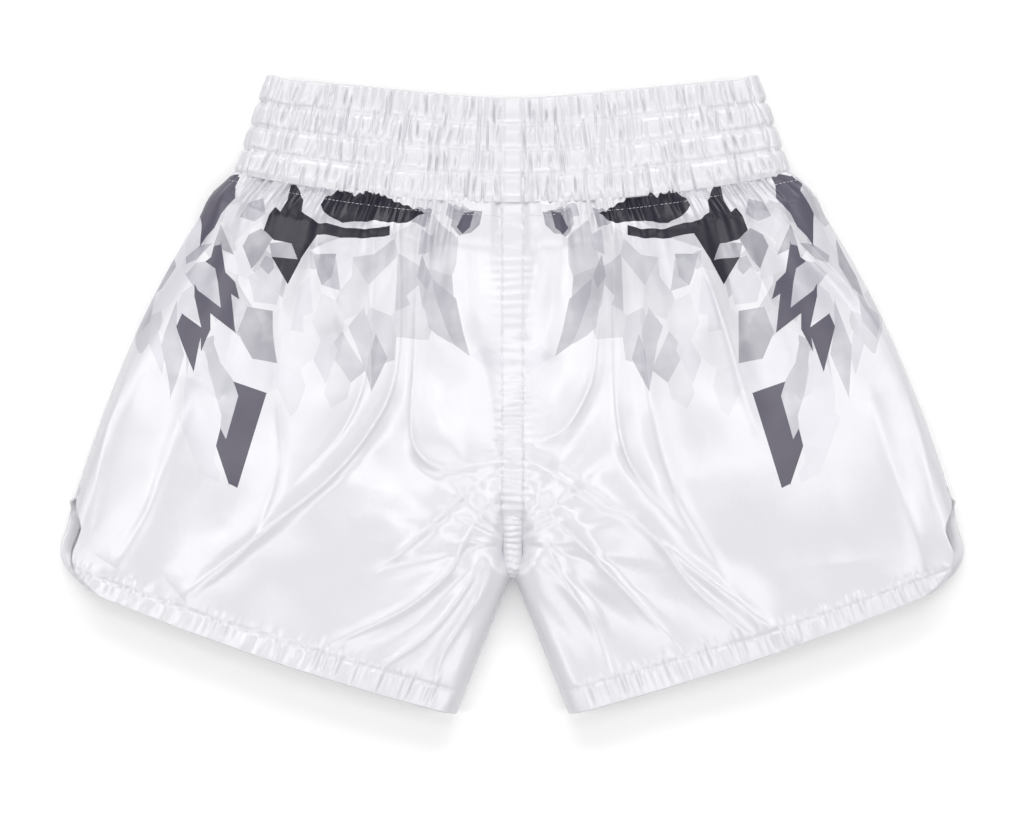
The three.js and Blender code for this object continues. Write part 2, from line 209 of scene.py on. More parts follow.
HIP_PUFF = 4.0  # the cloth swells out just under the waist seam
HIP_PUFF_ROW = 0.085
HIP_PUFF_SPAN = 0.055
print("side from", (WAIST_HALF_SEAM, round(SEAM_SIDE_Y, 1)), "to", WIDEST.round(1), HEM_OUTER.round(1))


def smooth(x):
    x = np.clip(x, 0, 1)
    return x * x * (3 - 2 * x)


def curve(a, b, c, t):
    t = np.asarray(t)[..., None]
    return (1 - t) ** 2 * a + 2 * t * (1 - t) * b + t * t * c


def stops(x, places, values):
    """Smooth steps between the values at the places."""
    out = np.full(np.shape(x), float(values[0]))
    for i in range(len(places) - 1):
        share = smooth((x - places[i]) / (places[i + 1] - places[i]))
        out = np.where(x > places[i], values[i] + (values[i + 1] - values[i]) * share, out)
    return out


def row(v):
    """The edges, heights and fullness of the rows v."""
    v = np.asarray(v, float)
    down = np.clip(v / FOLD_ROW, -0.02, 1)
    leg = (v - FOLD_ROW) / (1 - FOLD_ROW)
    inner_x = stops(v, [STRIP_END_ROW, FOLD_ROW], [STRIP_HALF + 0.1, CROTCH_HALF])
    inner = np.stack([inner_x, SEAM_CENTRE_Y + (CROTCH_Y - SEAM_CENTRE_Y) * down], -1)
    crotch = np.array([CROTCH_HALF, CROTCH_Y])
    inseam = crotch + leg[..., None] * (HEM_INNER - crotch)
    inner = np.where(leg[..., None] > 0, inseam, inner)
    waist_end = np.array([WAIST_HALF_SEAM - PINCH, SEAM_SIDE_Y])
    along = np.where(
        leg > 0,
        LEG_START + (1 - LEG_START) * np.clip((v - FOLD_ROW) / (CORNER_ROW - FOLD_ROW), 0, 1),
        LEG_START * down,
    )
    side = curve(waist_end, SIDE_CONTROL, WIDEST, along)
    corner = curve(WIDEST, CORNER_CONTROL, HEM_OUTER, (v - CORNER_ROW) / (1 - CORNER_ROW))
    outer = np.where((v > CORNER_ROW)[..., None], corner, side)
    puff = HIP_PUFF * np.exp(-(((v - HIP_PUFF_ROW) / HIP_PUFF_SPAN) ** 2))
    outer = outer + np.stack([puff, 0 * puff], -1)
    return {
        "inner": inner,
        "outer": outer,
        "low": PINCH * (1 - smooth(v / 0.06)),
        "high": stops(v, [0, 0.1, 0.55, 1], [WAIST_HIGH - PINCH, BODY_HIGH, BODY_HIGH, HEM_HIGH]),
        "bow": np.where(leg > 0, HEM_BOW * np.clip(leg, 0, 1), WAIST_DIP / 4 * (1 - down)),
        "closed": smooth((v - CLOSING_ROW) / (FOLD_ROW - CLOSING_ROW)),
        "inner_radius": stops(v, [0.5, FOLD_ROW, 0.82], [26, 20, 17]),
    }


# The side seam runs just above the outermost line of the side fold, and parts at the slit
# into a front edge, which draws back over the top, and a back edge, which opens downwards.
# Angles go round the side fold, in degrees: 90 on top, 0 outermost and -90 underneath.
SLIT_ROW = 0.835
FRONT_EDGE_ROWS = [0.55, SLIT_ROW, 0.885, 0.95, 1]
FRONT_EDGE = [24, 28, 84, 74, 44]
BACK_EDGE_ROWS = [0.55, SLIT_ROW, 0.86, 1]
BACK_EDGE = [24, 28, -30, -8]
LIP_OUT = 0.24  # how far the back's lip leans out at the slit, as a share of the radius
LIP_RISE = 0.4  # how far it rises from the floor there, in the same way
LIP_TOP = 0.14  # how much further it leans out just under the slit's top
LIP_TOP_ROW = SLIT_ROW + 0.025
LIP_TOP_SPAN = 0.02
LIP_STARTS_BY = 0.022  # rows from the slit's top to the full lean


def side_sweep(v, face):
    """How far the cloth goes round the side fold before its edge, in radians."""
    front = face == "front"
    places = FRONT_EDGE_ROWS if front else BACK_EDGE_ROWS
    edge = np.radians(stops(v, places, FRONT_EDGE if front else BACK_EDGE))
    return math.pi / 2 - edge if front else math.pi / 2 + edge


def lay_out(v, place, face):
    """Points of the lying cloth, their outward directions, the share of the row's width and
    how far the cloth faces up. Place goes 0 to 1 round the inner fold, 1 to 2 on the flat and
    2 to 3 round the side fold up to the seam; on the back the same way underneath."""
    v, place = np.broadcast_arrays(np.asarray(v, float), np.asarray(place, float))
    r = row(v)
    radius = (r["high"] - r["low"]) / 2
    middle = (r["high"] + r["low"]) / 2
    across = r["outer"] - r["inner"]
    length = np.linalg.norm(across, axis=-1)
    end = length - radius
    up = 1.0 if face == "front" else -1.0
    turn = np.clip(place, 0, 1) * math.pi / 2
    angle = math.pi / 2 - np.clip(place - 2, 0, 1) * side_sweep(v, face)
    inner_part = place <= 1
    side_part = place > 2
    flat = r["inner_radius"] + (end - r["inner_radius"]) * np.clip(place - 1, 0, 1)
    along = np.where(inner_part, r["inner_radius"] * (1 - np.cos(turn)), flat)
    lean = LIP_OUT + LIP_TOP * np.exp(-(((v - LIP_TOP_ROW) / LIP_TOP_SPAN) ** 2))
    lean = lean * smooth((v - SLIT_ROW) / LIP_STARTS_BY)
    lip = 1 + lean * smooth((math.pi / 2 - angle) / 0.9)
    along = np.where(side_part, end + radius * np.cos(angle) * (lip if up < 0 else 1), along)
    rise = np.where(inner_part, 1 - r["closed"] * (1 - np.sin(turn)), 1)
    lip_rise = 1 - LIP_RISE * np.cos(angle) ** 2
    open_slit = smooth((v - SLIT_ROW) / 0.04) if up < 0 else 0
    rise = np.where(side_part, np.sin(angle) + (lip_rise - np.sin(angle)) * open_slit, rise)
    out = np.where(inner_part, -np.cos(turn) * r["closed"], 0)
    out = np.where(side_part, np.cos(angle), out)
    level = np.where(inner_part, 1 - r["closed"] * (1 - np.sin(turn)), 1)
    level = np.where(side_part, np.sin(angle), level)
    size = np.hypot(out, level)
    share = along / length
    point = r["inner"] + across * share[..., None]
    y = point[..., 1] - r["bow"] * 4 * share * (1 - share)
    z = middle + up * radius * rise
    normal = across / length[..., None] * (out / size)[..., None]
    normal = np.concatenate([normal, (up * level / size)[..., None]], -1)
    return np.stack([point[..., 0], y, z], -1), normal, share, up * level / size


print("row ends at the hem:", row(1.0)["inner"].round(1), row(1.0)["outer"].round(1))

# %% [markdown]
# ## Folds
# Satin on a table shows three kinds of fold. Long soft ridges run where the cloth is pulled,
# mostly from the waist down and from the crotch out to the hems; each is a curve with a
# height and a width. Short pleats stand under the gathered waist seam. Small puckers cross
# every line of stitches, because the thread draws the cloth up. Adding heights keeps all
# three adjustable one by one, which a single simulated drape would not.


# %% Soft noise for slow swells
def soft_noise(x, y, size, seed):
    """Smooth seeded noise between -1 and 1 that changes over about size millimetres."""
    table = np.random.default_rng(seed).uniform(-1, 1, (64, 64))
    gx, gy = np.broadcast_arrays(np.asarray(x) / size + 1000, np.asarray(y) / size + 1000)
    ix, iy = np.floor(gx).astype(int), np.floor(gy).astype(int)
    fx, fy = smooth(gx - ix), smooth(gy - iy)
    a = table[ix % 64, iy % 64] * (1 - fx) + table[(ix + 1) % 64, iy % 64] * fx
    b = table[ix % 64, (iy + 1) % 64] * (1 - fx) + table[(ix + 1) % 64, (iy + 1) % 64] * fx
    return a * (1 - fy) + b * fy


# %% Long folds
# Each is a path in millimetres, a height, a half width, and its steeper side, seen along the
# path: 1 for the left, -1 for the right and 0 for neither.
WEARERS_RIGHT = [
    ([(-81, 129), (-80, 68), (-84, 12), (-100, -24), (-131, -61), (-172, -94),
      (-214, -133)], 5.5, 5, 1),
    ([(-68, 110), (-70, 30), (-72, -26), (-62, -47), (-40, -53), (-10, -46)], 3.8, 4.2, -1),
    ([(-99, 100), (-101, 46), (-107, 5), (-124, -30), (-158, -66)], 3.5, 6, 1),
    ([(-166, 70), (-170, 0), (-168, -55), (-185, -102), (-212, -132)], 4, 6, 1),
    ([(-250, 85), (-279, 3), (-291, -33), (-300, -90)], 3.5, 5, 1),
    ([(-226, 10), (-246, -45), (-262, -88), (-284, -124)], 5.5, 11, 0),
    ([(-118, -48), (-160, -84), (-208, -122), (-236, -146)], 6, 12, 0),
    ([(-34, 120), (-32, 54), (-20, 20), (-12, -30)], 3, 4.5, 1),
    ([(-12, -52), (-34, -71), (-59, -94), (-86, -118)], 3.5, 4.5, 1),
    ([(-10, -70), (-31, -98), (-47, -128), (-76, -153), (-130, -178)], 4.5, 7, 1),
    ([(-10, -82), (-24, -119), (-42, -150), (-66, -176), (-92, -193)], 3.5, 4.5, 0),
    ([(-9, -98), (-18, -130), (-31, -155), (-50, -186), (-57, -212)], 3, 4, 0),
    ([(-138, 108), (-128, 70), (-122, 45)], 2, 6, 0),
    ([(-205, 120), (-196, 80), (-200, 40), (-208, 0)], 2.5, 8, 0),
]
WEARERS_LEFT = [
    ([(66, 120), (63, 75), (60, 39), (56, 8), (40, -22), (22, -34)], 3.5, 4.5, 1),
    ([(73, 125), (72, 60), (74, -5), (80, -42), (95, -66), (124, -100)], 4.5, 4.5, -1),
    ([(88, 100), (91, 46), (99, -8), (112, -58), (134, -102), (178, -170)], 4.5, 7, -1),
    ([(9, -44), (27, -54), (60, -76), (96, -96), (128, -136), (172, -174)], 4.5, 5, 1),
    ([(8, -58), (23, -80), (49, -106), (72, -131), (112, -173)], 4.5, 5, 1),
    ([(8, -76), (23, -105), (38, -134), (58, -166), (74, -213)], 4.5, 6, 1),
    ([(128, 106), (138, 85), (150, 50), (163, 5), (176, -30)], 3.5, 6, 0),
    ([(186, 138), (207, 111), (240, 76), (268, 32), (289, -28), (299, -80)], 4, 5, -1),
    ([(256, 0), (270, -50), (284, -92), (292, -128)], 5.5, 11, 0),
    ([(64, -62), (108, -106), (158, -146), (204, -180)], 6, 12, 0),
    ([(23, 126), (17, 92), (9, 45)], 2.5, 3.5, 0),
    ([(34, 120), (31, 75), (22, 25)], 2.5, 4.5, 0),
    ([(166, 118), (176, 85), (186, 60)], 2, 6, 0),
    ([(226, -30), (232, -80), (236, -120)], 2, 20, 0),
]
PATH_STEPS = 40
AT_STRIP = 16  # a fold that starts this near the centre is held by the seam and stays high there
HELD_HIGH = 0.7
STEEP, GENTLE = 0.62, 1.5  # the two sides' widths, as shares of the fold's
RIDGE_SHARE, RIDGE_WIDTH = 0.24, 0.45  # a narrow ridge gives the bright line
FLANK_SHARE, FLANK_WIDTH = 0.5, 1.9  # on wide flanks


def smooth_path(points):
    """A Catmull-Rom curve through the points."""
    p = np.array([points[0], *points, points[-1]], float)
    t = np.linspace(0, len(points) - 1 - 1e-6, PATH_STEPS)
    i, f = t.astype(int), (t % 1)[:, None]
    a, b, c, d = p[i], p[i + 1], p[i + 2], p[i + 3]
    bend = (2 * a - 5 * b + 4 * c - d) * f**2 + (3 * b - a - 3 * c + d) * f**3
    return 0.5 * (2 * b + (c - a) * f + bend)


def nearest_on(path, x, y):
    """Signed distance to the path, positive on its left, and how far along it that is."""
    best = np.full(np.shape(x), 1e9)
    side = np.ones(np.shape(x))
    t = np.zeros(np.shape(x))
    for i in range(len(path) - 1):
        ax, ay = path[i]
        dx, dy = path[i + 1] - path[i]
        u = np.clip(((x - ax) * dx + (y - ay) * dy) / (dx * dx + dy * dy), 0, 1)
        gap = np.hypot(x - ax - u * dx, y - ay - u * dy)
        closer = gap < best
        best = np.where(closer, gap, best)
        side = np.where(closer, np.sign(dx * (y - ay) - dy * (x - ax)), side)
        t = np.where(closer, (i + u) / (len(path) - 1), t)
    return best * side, t


def long_folds(x, y, folds):
    total = np.zeros(np.shape(x))
    for number, (points, height, width, lean) in enumerate(folds):
        d, t = nearest_on(smooth_path(points), x, y)
        fade = np.sin(math.pi * (0.06 + 0.88 * t)) ** 0.8
        starts_at_strip, ends_at_strip = (abs(points[i][0]) < AT_STRIP for i in (0, -1))
        held = (starts_at_strip & (t < 0.5)) | (ends_at_strip & (t > 0.5))
        fade = np.where(held, np.maximum(fade, HELD_HIGH), fade)
        wide = width * (1 + 0.25 * soft_noise(x, y, 40, 50 + number))
        wide = wide * np.where(d * lean > 0, STEEP, np.where(d * lean < 0, GENTLE, 1.0))
        edge = RIDGE_SHARE * np.exp(-((d / (RIDGE_WIDTH * wide)) ** 2))
        crest = edge + FLANK_SHARE * np.exp(-((d / (FLANK_WIDTH * wide)) ** 2))
        total += (height * fade * crest) ** 2
    return np.sqrt(total)


# %% Pleats under the waist seam
PLEAT_APART = (0.024, 0.048)  # shares of the half's width
PLEAT_REACHES = [18, 30, 48, 80]
PLEAT_CHANCES = [0.35, 0.3, 0.22, 0.13]
PLEAT_HIGH = (1.4, 3.2)
PLEAT_WIDTH = 0.0095


def waist_pleats(share, below, seed):
    """share is the place across the half, below the distance under the waist seam."""
    rng = np.random.default_rng(seed)
    total = np.zeros(np.shape(share))
    place = 0.0
    while place < 1:
        place += rng.uniform(*PLEAT_APART)
        reach = rng.choice(PLEAT_REACHES, p=PLEAT_CHANCES) * rng.uniform(0.8, 1.2)
        height = rng.uniform(*PLEAT_HIGH)
        lean = rng.uniform(-0.02, 0.02)
        width = PLEAT_WIDTH * (1 + np.clip(below, 0, 90) / 45)
        d = (share - place - lean * below / 60) / width
        fade = np.exp(-((np.clip(below, 0, None) / reach) ** 1.5))
        total += (height * fade * np.exp(-(d**2))) ** 2
    return np.sqrt(total)


# %% Puckers along stitches
def puckers(along, pitch, seed):
    """Ripples that cross a line of stitches, uneven as a thread's pull is."""
    drift = soft_noise(along, 0, pitch * 2.4, seed)
    strength = 0.65 + 0.35 * soft_noise(along, 0, pitch * 4, seed + 1)
    return strength * np.sin(2 * math.pi * along / pitch + 2.2 * drift)


def glints(along, pitch, seed):
    """Short upright ridges where a thread pulls: uneven in place, width and height."""
    table = np.random.default_rng(seed).uniform(0, 1, (512, 3))
    cell = np.floor(along / pitch).astype(int)
    total = np.zeros(np.shape(along))
    for step in (-1, 0, 1):
        place, width, height = np.moveaxis(table[(cell + step) % 512], -1, 0)
        d = along - (cell + step + 0.15 + 0.7 * place) * pitch
        total += height**0.7 * np.exp(-((d / (1.2 + 1.5 * width)) ** 2))
    return total


# %% Heights of the front and the back
ROW_LENGTH = np.linalg.norm(HEM_INNER - [0, CROTCH_Y]) / (1 - FOLD_ROW)
WAIST_TO_ROW = ROW_LENGTH * 0.95  # the body's rows are a little closer than the leg's
FRONT_SEEDS = {1: 11, -1: 23}  # for the wearer's left and right
HEM_BAND = 5.5  # the puckers' middle, in from the stitches towards the edge
HEM_GLINT, HEM_RIPPLE, HEM_GROOVE = 1.5, 0.3, 0.35
WAIST_GATHERS = 31  # across one half
WAIST_GATHER_HIGH = 2.2
WAIST_GATHER_REACH = 13
SWELL, SWELL_SIZE = 3.6, 95  # air under the cloth
RIPPLE, RIPPLE_SIZE = 1.3, 34
STREAK, STREAK_REACH = 1.1, 130  # faint lines down from the waist
SPOKE, SPOKE_REACH = 1.3, 75  # faint lines round the crotch
SPOKES_ABOVE = 25  # how far above the crotch they meet
STRIP_PUCKER, STRIP_SINK = 0.5, 0.8  # along the centre strip
CLEAR_OF_FLOOR = 0.05
print("rows are", round(ROW_LENGTH, 1), "mm long in all")


def hem_puckers(v, share, seed):
    r = row(v)
    along = share * np.linalg.norm(r["outer"] - r["inner"], axis=-1)
    from_hem = (1 - v) * ROW_LENGTH - HEM_WIDTH
    sway = 3.0 * soft_noise(along, 0, 9, seed + 3)
    reach = np.where(from_hem > -HEM_BAND, 10.5, 9.5)
    near = np.exp(-((np.abs(from_hem + HEM_BAND + sway) / reach) ** 3))
    ripple = HEM_GLINT * glints(along, 6, seed) + HEM_RIPPLE * puckers(along, 5.5, seed + 6)
    return near * (ripple - 0.5) - HEM_GROOVE * np.exp(-((from_hem / 1.6) ** 2))


def front_height(side, v, x, y, share):
    """How far the front cloth stands out from its plain surface, in millimetres."""
    seed = FRONT_SEEDS[side]
    below = v * WAIST_TO_ROW
    height = long_folds(x, y, WEARERS_LEFT if side > 0 else WEARERS_RIGHT)
    height += waist_pleats(share, below, seed) * smooth((below + 2) / 5)
    drift = 1.4 * soft_noise(share * 200, below * 0.3, 13, seed + 12)
    gathers = np.abs(np.sin(math.pi * WAIST_GATHERS * share + drift)) ** 0.6 - 0.8
    height += WAIST_GATHER_HIGH * gathers * np.exp(-np.clip(below, 0, None) / WAIST_GATHER_REACH)
    swell = SWELL * soft_noise(x, y, SWELL_SIZE, 3) + RIPPLE * soft_noise(x, y * 0.6, RIPPLE_SIZE, 4)
    height += swell * (0.3 + 0.7 * smooth(below / 70))
    streaks = soft_noise(share * 260, below * 0.14, 11, 5)
    height += STREAK * streaks * np.exp(-below / STREAK_REACH)
    hub = CROTCH_Y + SPOKES_ABOVE
    from_crotch = np.hypot(x, y - CROTCH_Y - SPOKES_ABOVE)
    spokes = soft_noise(np.arctan2(np.abs(x) + 1, hub - y) * 57, from_crotch * 0.1, 7, 6)
    height += SPOKE * spokes * smooth(from_crotch / 30) * np.exp(-from_crotch / SPOKE_REACH)
    height += hem_puckers(v, share, seed + 4)
    in_body = smooth((y - CROTCH_Y - 4) / 12)
    from_strip = np.clip(np.abs(x) - STRIP_HALF, 0, None)
    lower = 0.25 + 0.75 * smooth((30 - y) / 60)
    height += in_body * lower * STRIP_PUCKER * puckers(y, 6.5, seed + 2) * np.exp(-from_strip / 5)
    return height - in_body * lower * STRIP_SINK * np.exp(-from_strip / 2.5)


def back_height(side, v, x, y, share):
    """The back lies on the floor, so its folds stand inwards only."""
    pleats = waist_pleats(share, v * WAIST_TO_ROW, 31 if side > 0 else 37)
    slow = 1.2 + 1.2 * soft_noise(x, y, 60, 8)
    return -(pleats + slow + 0.9 + 0.6 * hem_puckers(v, share, 41))


def cloth(side, face, v, place, inset=0.0):
    """Finished points of the folded cloth, inset millimetres inside its outer surface."""
    points, normal, share, level = lay_out(v, place, face)
    v = np.broadcast_to(v, share.shape)
    x, y = side * points[..., 0], points[..., 1]
    height = front_height(side, v, x, y, share) * smooth(level / 0.7)
    if face == "back":
        height = np.where(level < 0, back_height(side, v, x, y, share), height)
        height = height * np.where(level < 0, smooth(-level / 0.7), 1)
    points = points + normal * (height - inset)[..., None]
    if face == "back":
        points[..., 2] = np.maximum(points[..., 2], CLEAR_OF_FLOOR + inset)
    return points * [side, 1, 1]


def tidy_range(name, points):
    low, high = points.reshape(-1, 3).min(0), points.reshape(-1, 3).max(0)
    print(name, "from", low.round(1), "to", high.round(1), "mm")


tidy_range("front cloth", cloth(1, "front", np.linspace(0, 1, 80)[:, None], np.linspace(0, 3, 80)))

# %% [markdown]
# ## From points to cloth
# A piece of cloth is a grid of points: rows down it, columns across it. It becomes a mesh
# whose faces point outwards, and a panel keeps its lying place as a flat map, so its print can
# follow the cloth. The strips, the gusset and the label also get a wall, added inwards.


# %% Meshes from grids
def link_mesh(name, verts, faces, material):
    mesh = bpy.data.meshes.new(name)
    mesh.from_pydata((np.asarray(verts) * MM).tolist(), [], faces)
    mesh.shade_smooth()
    mesh.materials.append(material)
    obj = bpy.data.objects.new(name, mesh)
    scene.collection.objects.link(obj)
    return obj


def grid_piece(name, points, material, flip=False, ring=False, flat_map=None, wall=0.0):
    """A mesh through a grid of points in millimetres. With ring, the last column joins the
    first. The flat map holds the print's place, in metres."""
    rows, columns = points.shape[:2]
    verts = points.reshape(-1, 3)
    last = columns if ring else columns - 1
    i, j = np.meshgrid(np.arange(rows - 1), np.arange(last), indexing="ij")
    k = (j + 1) % columns
    quads = np.stack([i * columns + j, (i + 1) * columns + j, (i + 1) * columns + k,
                      i * columns + k], -1).reshape(-1, 4)
    if flip:
        quads = quads[:, ::-1]
    obj = link_mesh(name, verts, quads.tolist(), material)
    if flat_map is not None:
        layer = obj.data.uv_layers.new(name="print")
        corners = np.empty(len(obj.data.loops), int)
        obj.data.loops.foreach_get("vertex_index", corners)
        layer.data.foreach_set("uv", (flat_map.reshape(-1, 2)[corners] * MM).ravel())
    if wall:
        add_wall(obj, wall)
    triangles = sum(len(p.vertices) - 2 for p in obj.data.polygons)
    print(f"{name}: {rows} x {columns} points, {triangles} triangles")
    return obj


def add_wall(obj, thickness):
    bpy.ops.object.select_all(action="DESELECT")
    bpy.context.view_layer.objects.active = obj
    obj.select_set(True)
    wall = obj.modifiers.new("wall", "SOLIDIFY")
    wall.thickness = thickness * MM
    wall.offset = -1
    bpy.ops.object.modifier_apply(modifier=wall.name)


# %% [markdown]
# ## Materials
# The satin is near white with a cool cast and a clear sheen, and it carries a sharp, faceted
# print in greys that mirrors about the centre. The print is drawn by the shader: each facet is
# a set of straight edges, and a point is inside when it is on the inner side of all of them.
# An image would hold only one size of pattern, and would have to be kept with the file.

# %% Node helpers
GREYS = {
    "charcoal": (0.026, 0.024, 0.036),
    "dark": (0.108, 0.100, 0.135),
    "mid": (0.310, 0.302, 0.345),
    "light": (0.350, 0.343, 0.392),
    "pale": (0.455, 0.448, 0.500),
    "faint": (0.590, 0.584, 0.636),
    "veil": (0.665, 0.660, 0.709),
}
SATIN_WHITE = (0.728, 0.722, 0.757)


def new_material(name, colour, roughness):
    material = bpy.data.materials.new(name)
    material.use_nodes = True
    shader = material.node_tree.nodes["Principled BSDF"]
    shader.inputs["Base Color"].default_value = (*colour, 1)
    shader.inputs["Roughness"].default_value = roughness
    return material, material.node_tree, shader


def math_node(tree, operation, a, b=None):
    node = tree.nodes.new("ShaderNodeMath")
    node.operation = operation
    for socket, value in zip(node.inputs, (a, b)):
        if value is None:
            continue
        if isinstance(value, (int, float)):
            socket.default_value = value
        else:
            tree.links.new(value, socket)
    return node.outputs[0]


def mix_colour(tree, factor, a, b):
    node = tree.nodes.new("ShaderNodeMix")
    node.data_type = "RGBA"
    for socket, value in ((node.inputs[0], factor), (node.inputs[6], a), (node.inputs[7], b)):
        if isinstance(value, tuple):
            socket.default_value = (*value, 1)
        elif isinstance(value, (int, float)):
            socket.default_value = value
        else:
            tree.links.new(value, socket)
    return node.outputs[2]


def noise(tree, vector, scale, detail=2.0):
    node = tree.nodes.new("ShaderNodeTexNoise")
    node.inputs["Scale"].default_value = scale
    node.inputs["Detail"].default_value = detail
    tree.links.new(vector, node.inputs["Vector"])
    return node.outputs["Fac"]


def stretched(tree, vector, scale):
    node = tree.nodes.new("ShaderNodeMapping")
    node.inputs["Scale"].default_value = scale
    tree.links.new(vector, node.inputs["Vector"])
    return node.outputs["Vector"]


def bump(tree, shader, height, strength, distance):
    node = tree.nodes.new("ShaderNodeBump")
    node.inputs["Strength"].default_value = strength
    node.inputs["Distance"].default_value = distance
    tree.links.new(height, node.inputs["Height"])
    tree.links.new(node.outputs["Normal"], shader.inputs["Normal"])


# %% [markdown]
# ### The print
# The facets are listed for one half, in millimetres from the centre line and from the middle
# of the height. A facet with a dent is cut into parts without dents before it is drawn,
# because the test with straight edges holds only for those.

# %% Facets of the print
PRINT = [
    ("veil", [(214, 30), (222, 34), (232, 4), (232, -14), (236, -18), (230, -34), (221, -58),
              (208, -64), (206, -58), (211, -50), (209, -38), (206, -26), (205, -16), (210, 0)]),
    ("veil", [(152, 8), (162, 24), (180, 24), (186, 40), (204, 50), (206, 36), (202, 14),
              (196, 8), (173, 1)]),
    ("veil", [(105, 101), (117, 100), (114, 74), (106, 84)]),
    ("veil", [(86, 128), (112, 112), (136, 104), (120, 96), (92, 100), (80, 112)]),
    ("veil", [(176, 92), (186, 106), (192, 100), (205, 104), (198, 90), (180, 82)]),
    ("veil", [(218, 128), (232, 116), (250, 80), (262, 52), (244, 60), (232, 68), (222, 84),
              (214, 108)]),
    ("veil", [(20, 34), (30, 27), (10, 14), (6, 26)]),
    ("faint", [(136, 84), (143, 78), (150, 46), (141, 44), (141, 56), (134, 58)]),
    ("faint", [(214, 50), (218, 80), (228, 72), (232, 62), (231, 50), (227, 57)]),
    ("faint", [(250, 52), (253, 36), (247, 14), (243, 28), (246, 46)]),
    ("faint", [(66, 78), (73, 70), (68, 56), (64, 62)]),
    ("faint", [(155, 88), (168, 92), (180, 84), (176, 66), (160, 64)]),
    ("faint", [(123, 48), (136, 24), (130, 7), (118, 31)]),
    ("faint", [(164, 146), (188, 128), (196, 120), (186, 113), (172, 124), (162, 134)]),
    ("faint", [(126, 146), (140, 146), (140, 134), (130, 128), (124, 132)]),
    ("pale", [(232, 66), (244, 34), (242, -2), (229, 28), (232, 48)]),
    ("pale", [(98, 61), (108, 48), (104, 36), (98, 2), (95, 20), (93, 44)]),
    ("pale", [(193, 0), (197, 10), (204, 22), (212, 30), (213, 16), (210, 0), (205, -16),
              (206, -26), (202, -34)]),
    ("pale", [(200, 61), (203, 88), (210, 95), (218, 94), (226, 86), (216, 72), (209, 68)]),
    ("pale", [(46, 52), (56, 66), (62, 62), (60, 48), (54, 42), (44, 36)]),
    ("pale", [(114, 74), (117, 96), (123, 84), (127, 78)]),
    ("pale", [(56, 114), (64, 118), (66, 100), (58, 104)]),
    ("pale", [(32, 134), (46, 138), (48, 130), (38, 124)]),
    ("pale", [(247, 84), (256, 62), (264, 56), (262, 40), (252, 52)]),
    ("light", [(91, 42), (95, 30), (98, 2), (86, 25)]),
    ("light", [(117, 100), (133, 100), (130, 86), (127, 78), (120, 84)]),
    ("light", [(57, 82), (41, 68), (36, 44), (31, 27), (43, 36), (48, 48), (56, 72)]),
    ("light", [(58, 84), (64, 99), (67, 84), (61, 76)]),
    ("light", [(207, 108), (216, 107), (228, 99), (227, 94), (218, 97)]),
    ("light", [(170, 141), (180, 138), (186, 128), (176, 124), (168, 130)]),
    ("light", [(236, 111), (250, 84), (253, 70), (245, 76), (236, 92)]),
    ("light", [(163, 97), (168, 99), (172, 92), (166, 86), (162, 90)]),
    ("mid", [(163, 59), (181, 62), (188, 44), (180, 25), (163, 22)]),
    ("mid", [(163, 112), (171, 119), (180, 114), (184, 106), (178, 90), (172, 97)]),
    ("mid", [(150, 109), (165, 108), (163, 97), (145, 96)]),
    ("mid", [(200, 121), (191, 100), (205, 107)]),
    ("mid", [(22, 132), (42, 134), (44, 122), (38, 114), (30, 116), (24, 122)]),
    ("dark", [(28, 132), (35, 130), (40, 121), (36, 115), (31, 120)]),
    ("light", [(58, 134), (70, 134), (70, 124), (62, 120)]),
    ("dark", [(196, 8), (173, 0), (194, -68), (200, -65), (209, -38), (206, -26), (202, -34),
              (193, -2)]),
    ("dark", [(228, 57), (232, 48), (224, 16), (217, 36), (213, 46)]),
    ("dark", [(200, 107), (205, 106), (207, 98), (211, 95), (204, 90), (202, 80), (200, 62),
              (190, 44), (193, 72), (187, 68), (190, 80), (197, 87)]),
    ("dark", [(200, 61), (209, 68), (217, 74), (219, 78), (219, 70), (214, 47), (216, 31),
              (208, 46), (208, 58), (190, 44)]),
    ("dark", [(186, 158), (190, 150), (190, 141), (200, 130), (205, 120), (212, 113), (216, 107),
              (217, 130), (213, 137), (207, 146), (207, 153), (200, 158)]),
    ("charcoal", [(83, 121), (92, 118.5), (110, 118.5), (122, 122), (131, 124), (132, 116),
                  (122, 114), (113, 112), (95, 112), (83, 114)]),
    ("charcoal", [(63, 131), (70, 134), (80, 139), (88, 145), (96, 147), (104, 143), (110, 147),
                  (117, 147), (125, 141), (128, 136), (122, 128), (112, 123), (92, 125),
                  (74, 123)]),
    ("charcoal", [(146, 151), (141, 140), (142, 131), (135, 126), (128, 122), (131, 115),
                  (144, 95), (149, 108), (162, 111), (169, 118), (165, 129), (161, 134),
                  (157, 131), (152, 140), (150, 150)]),
    ("charcoal", [(143, 96), (163, 98), (152, 79)]),
]


def turn_area(a, b, c):
    return (b[0] - a[0]) * (c[1] - a[1]) - (b[1] - a[1]) * (c[0] - a[0])


def without_dents(points):
    """Cuts an outline into parts without dents: ears are clipped, then parts that share an
    edge are joined while they stay free of dents."""
    p = list(points)
    if sum(turn_area((0, 0), p[i - 1], p[i]) for i in range(len(p))) < 0:
        p.reverse()
    ears = []
    while len(p) > 3:
        for i in range(len(p)):
            a, b, c = p[i - 1], p[i], p[(i + 1) % len(p)]
            others = [q for q in p if q not in (a, b, c)]
            inside = any(min(turn_area(a, b, q), turn_area(b, c, q), turn_area(c, a, q)) >= 0
                         for q in others)
            if turn_area(a, b, c) > 0 and not inside:
                ears.append([a, b, c])
                p.pop(i)
                break
        else:
            break
    parts = [*ears, p]
    joined = True
    while joined:
        joined = False
        for one in parts:
            for two in parts:
                shape = join_at_edge(one, two) if one is not two else None
                if shape:
                    parts = [q for q in parts if q is not one and q is not two] + [shape]
                    joined = True
                    break
            if joined:
                break
    return parts


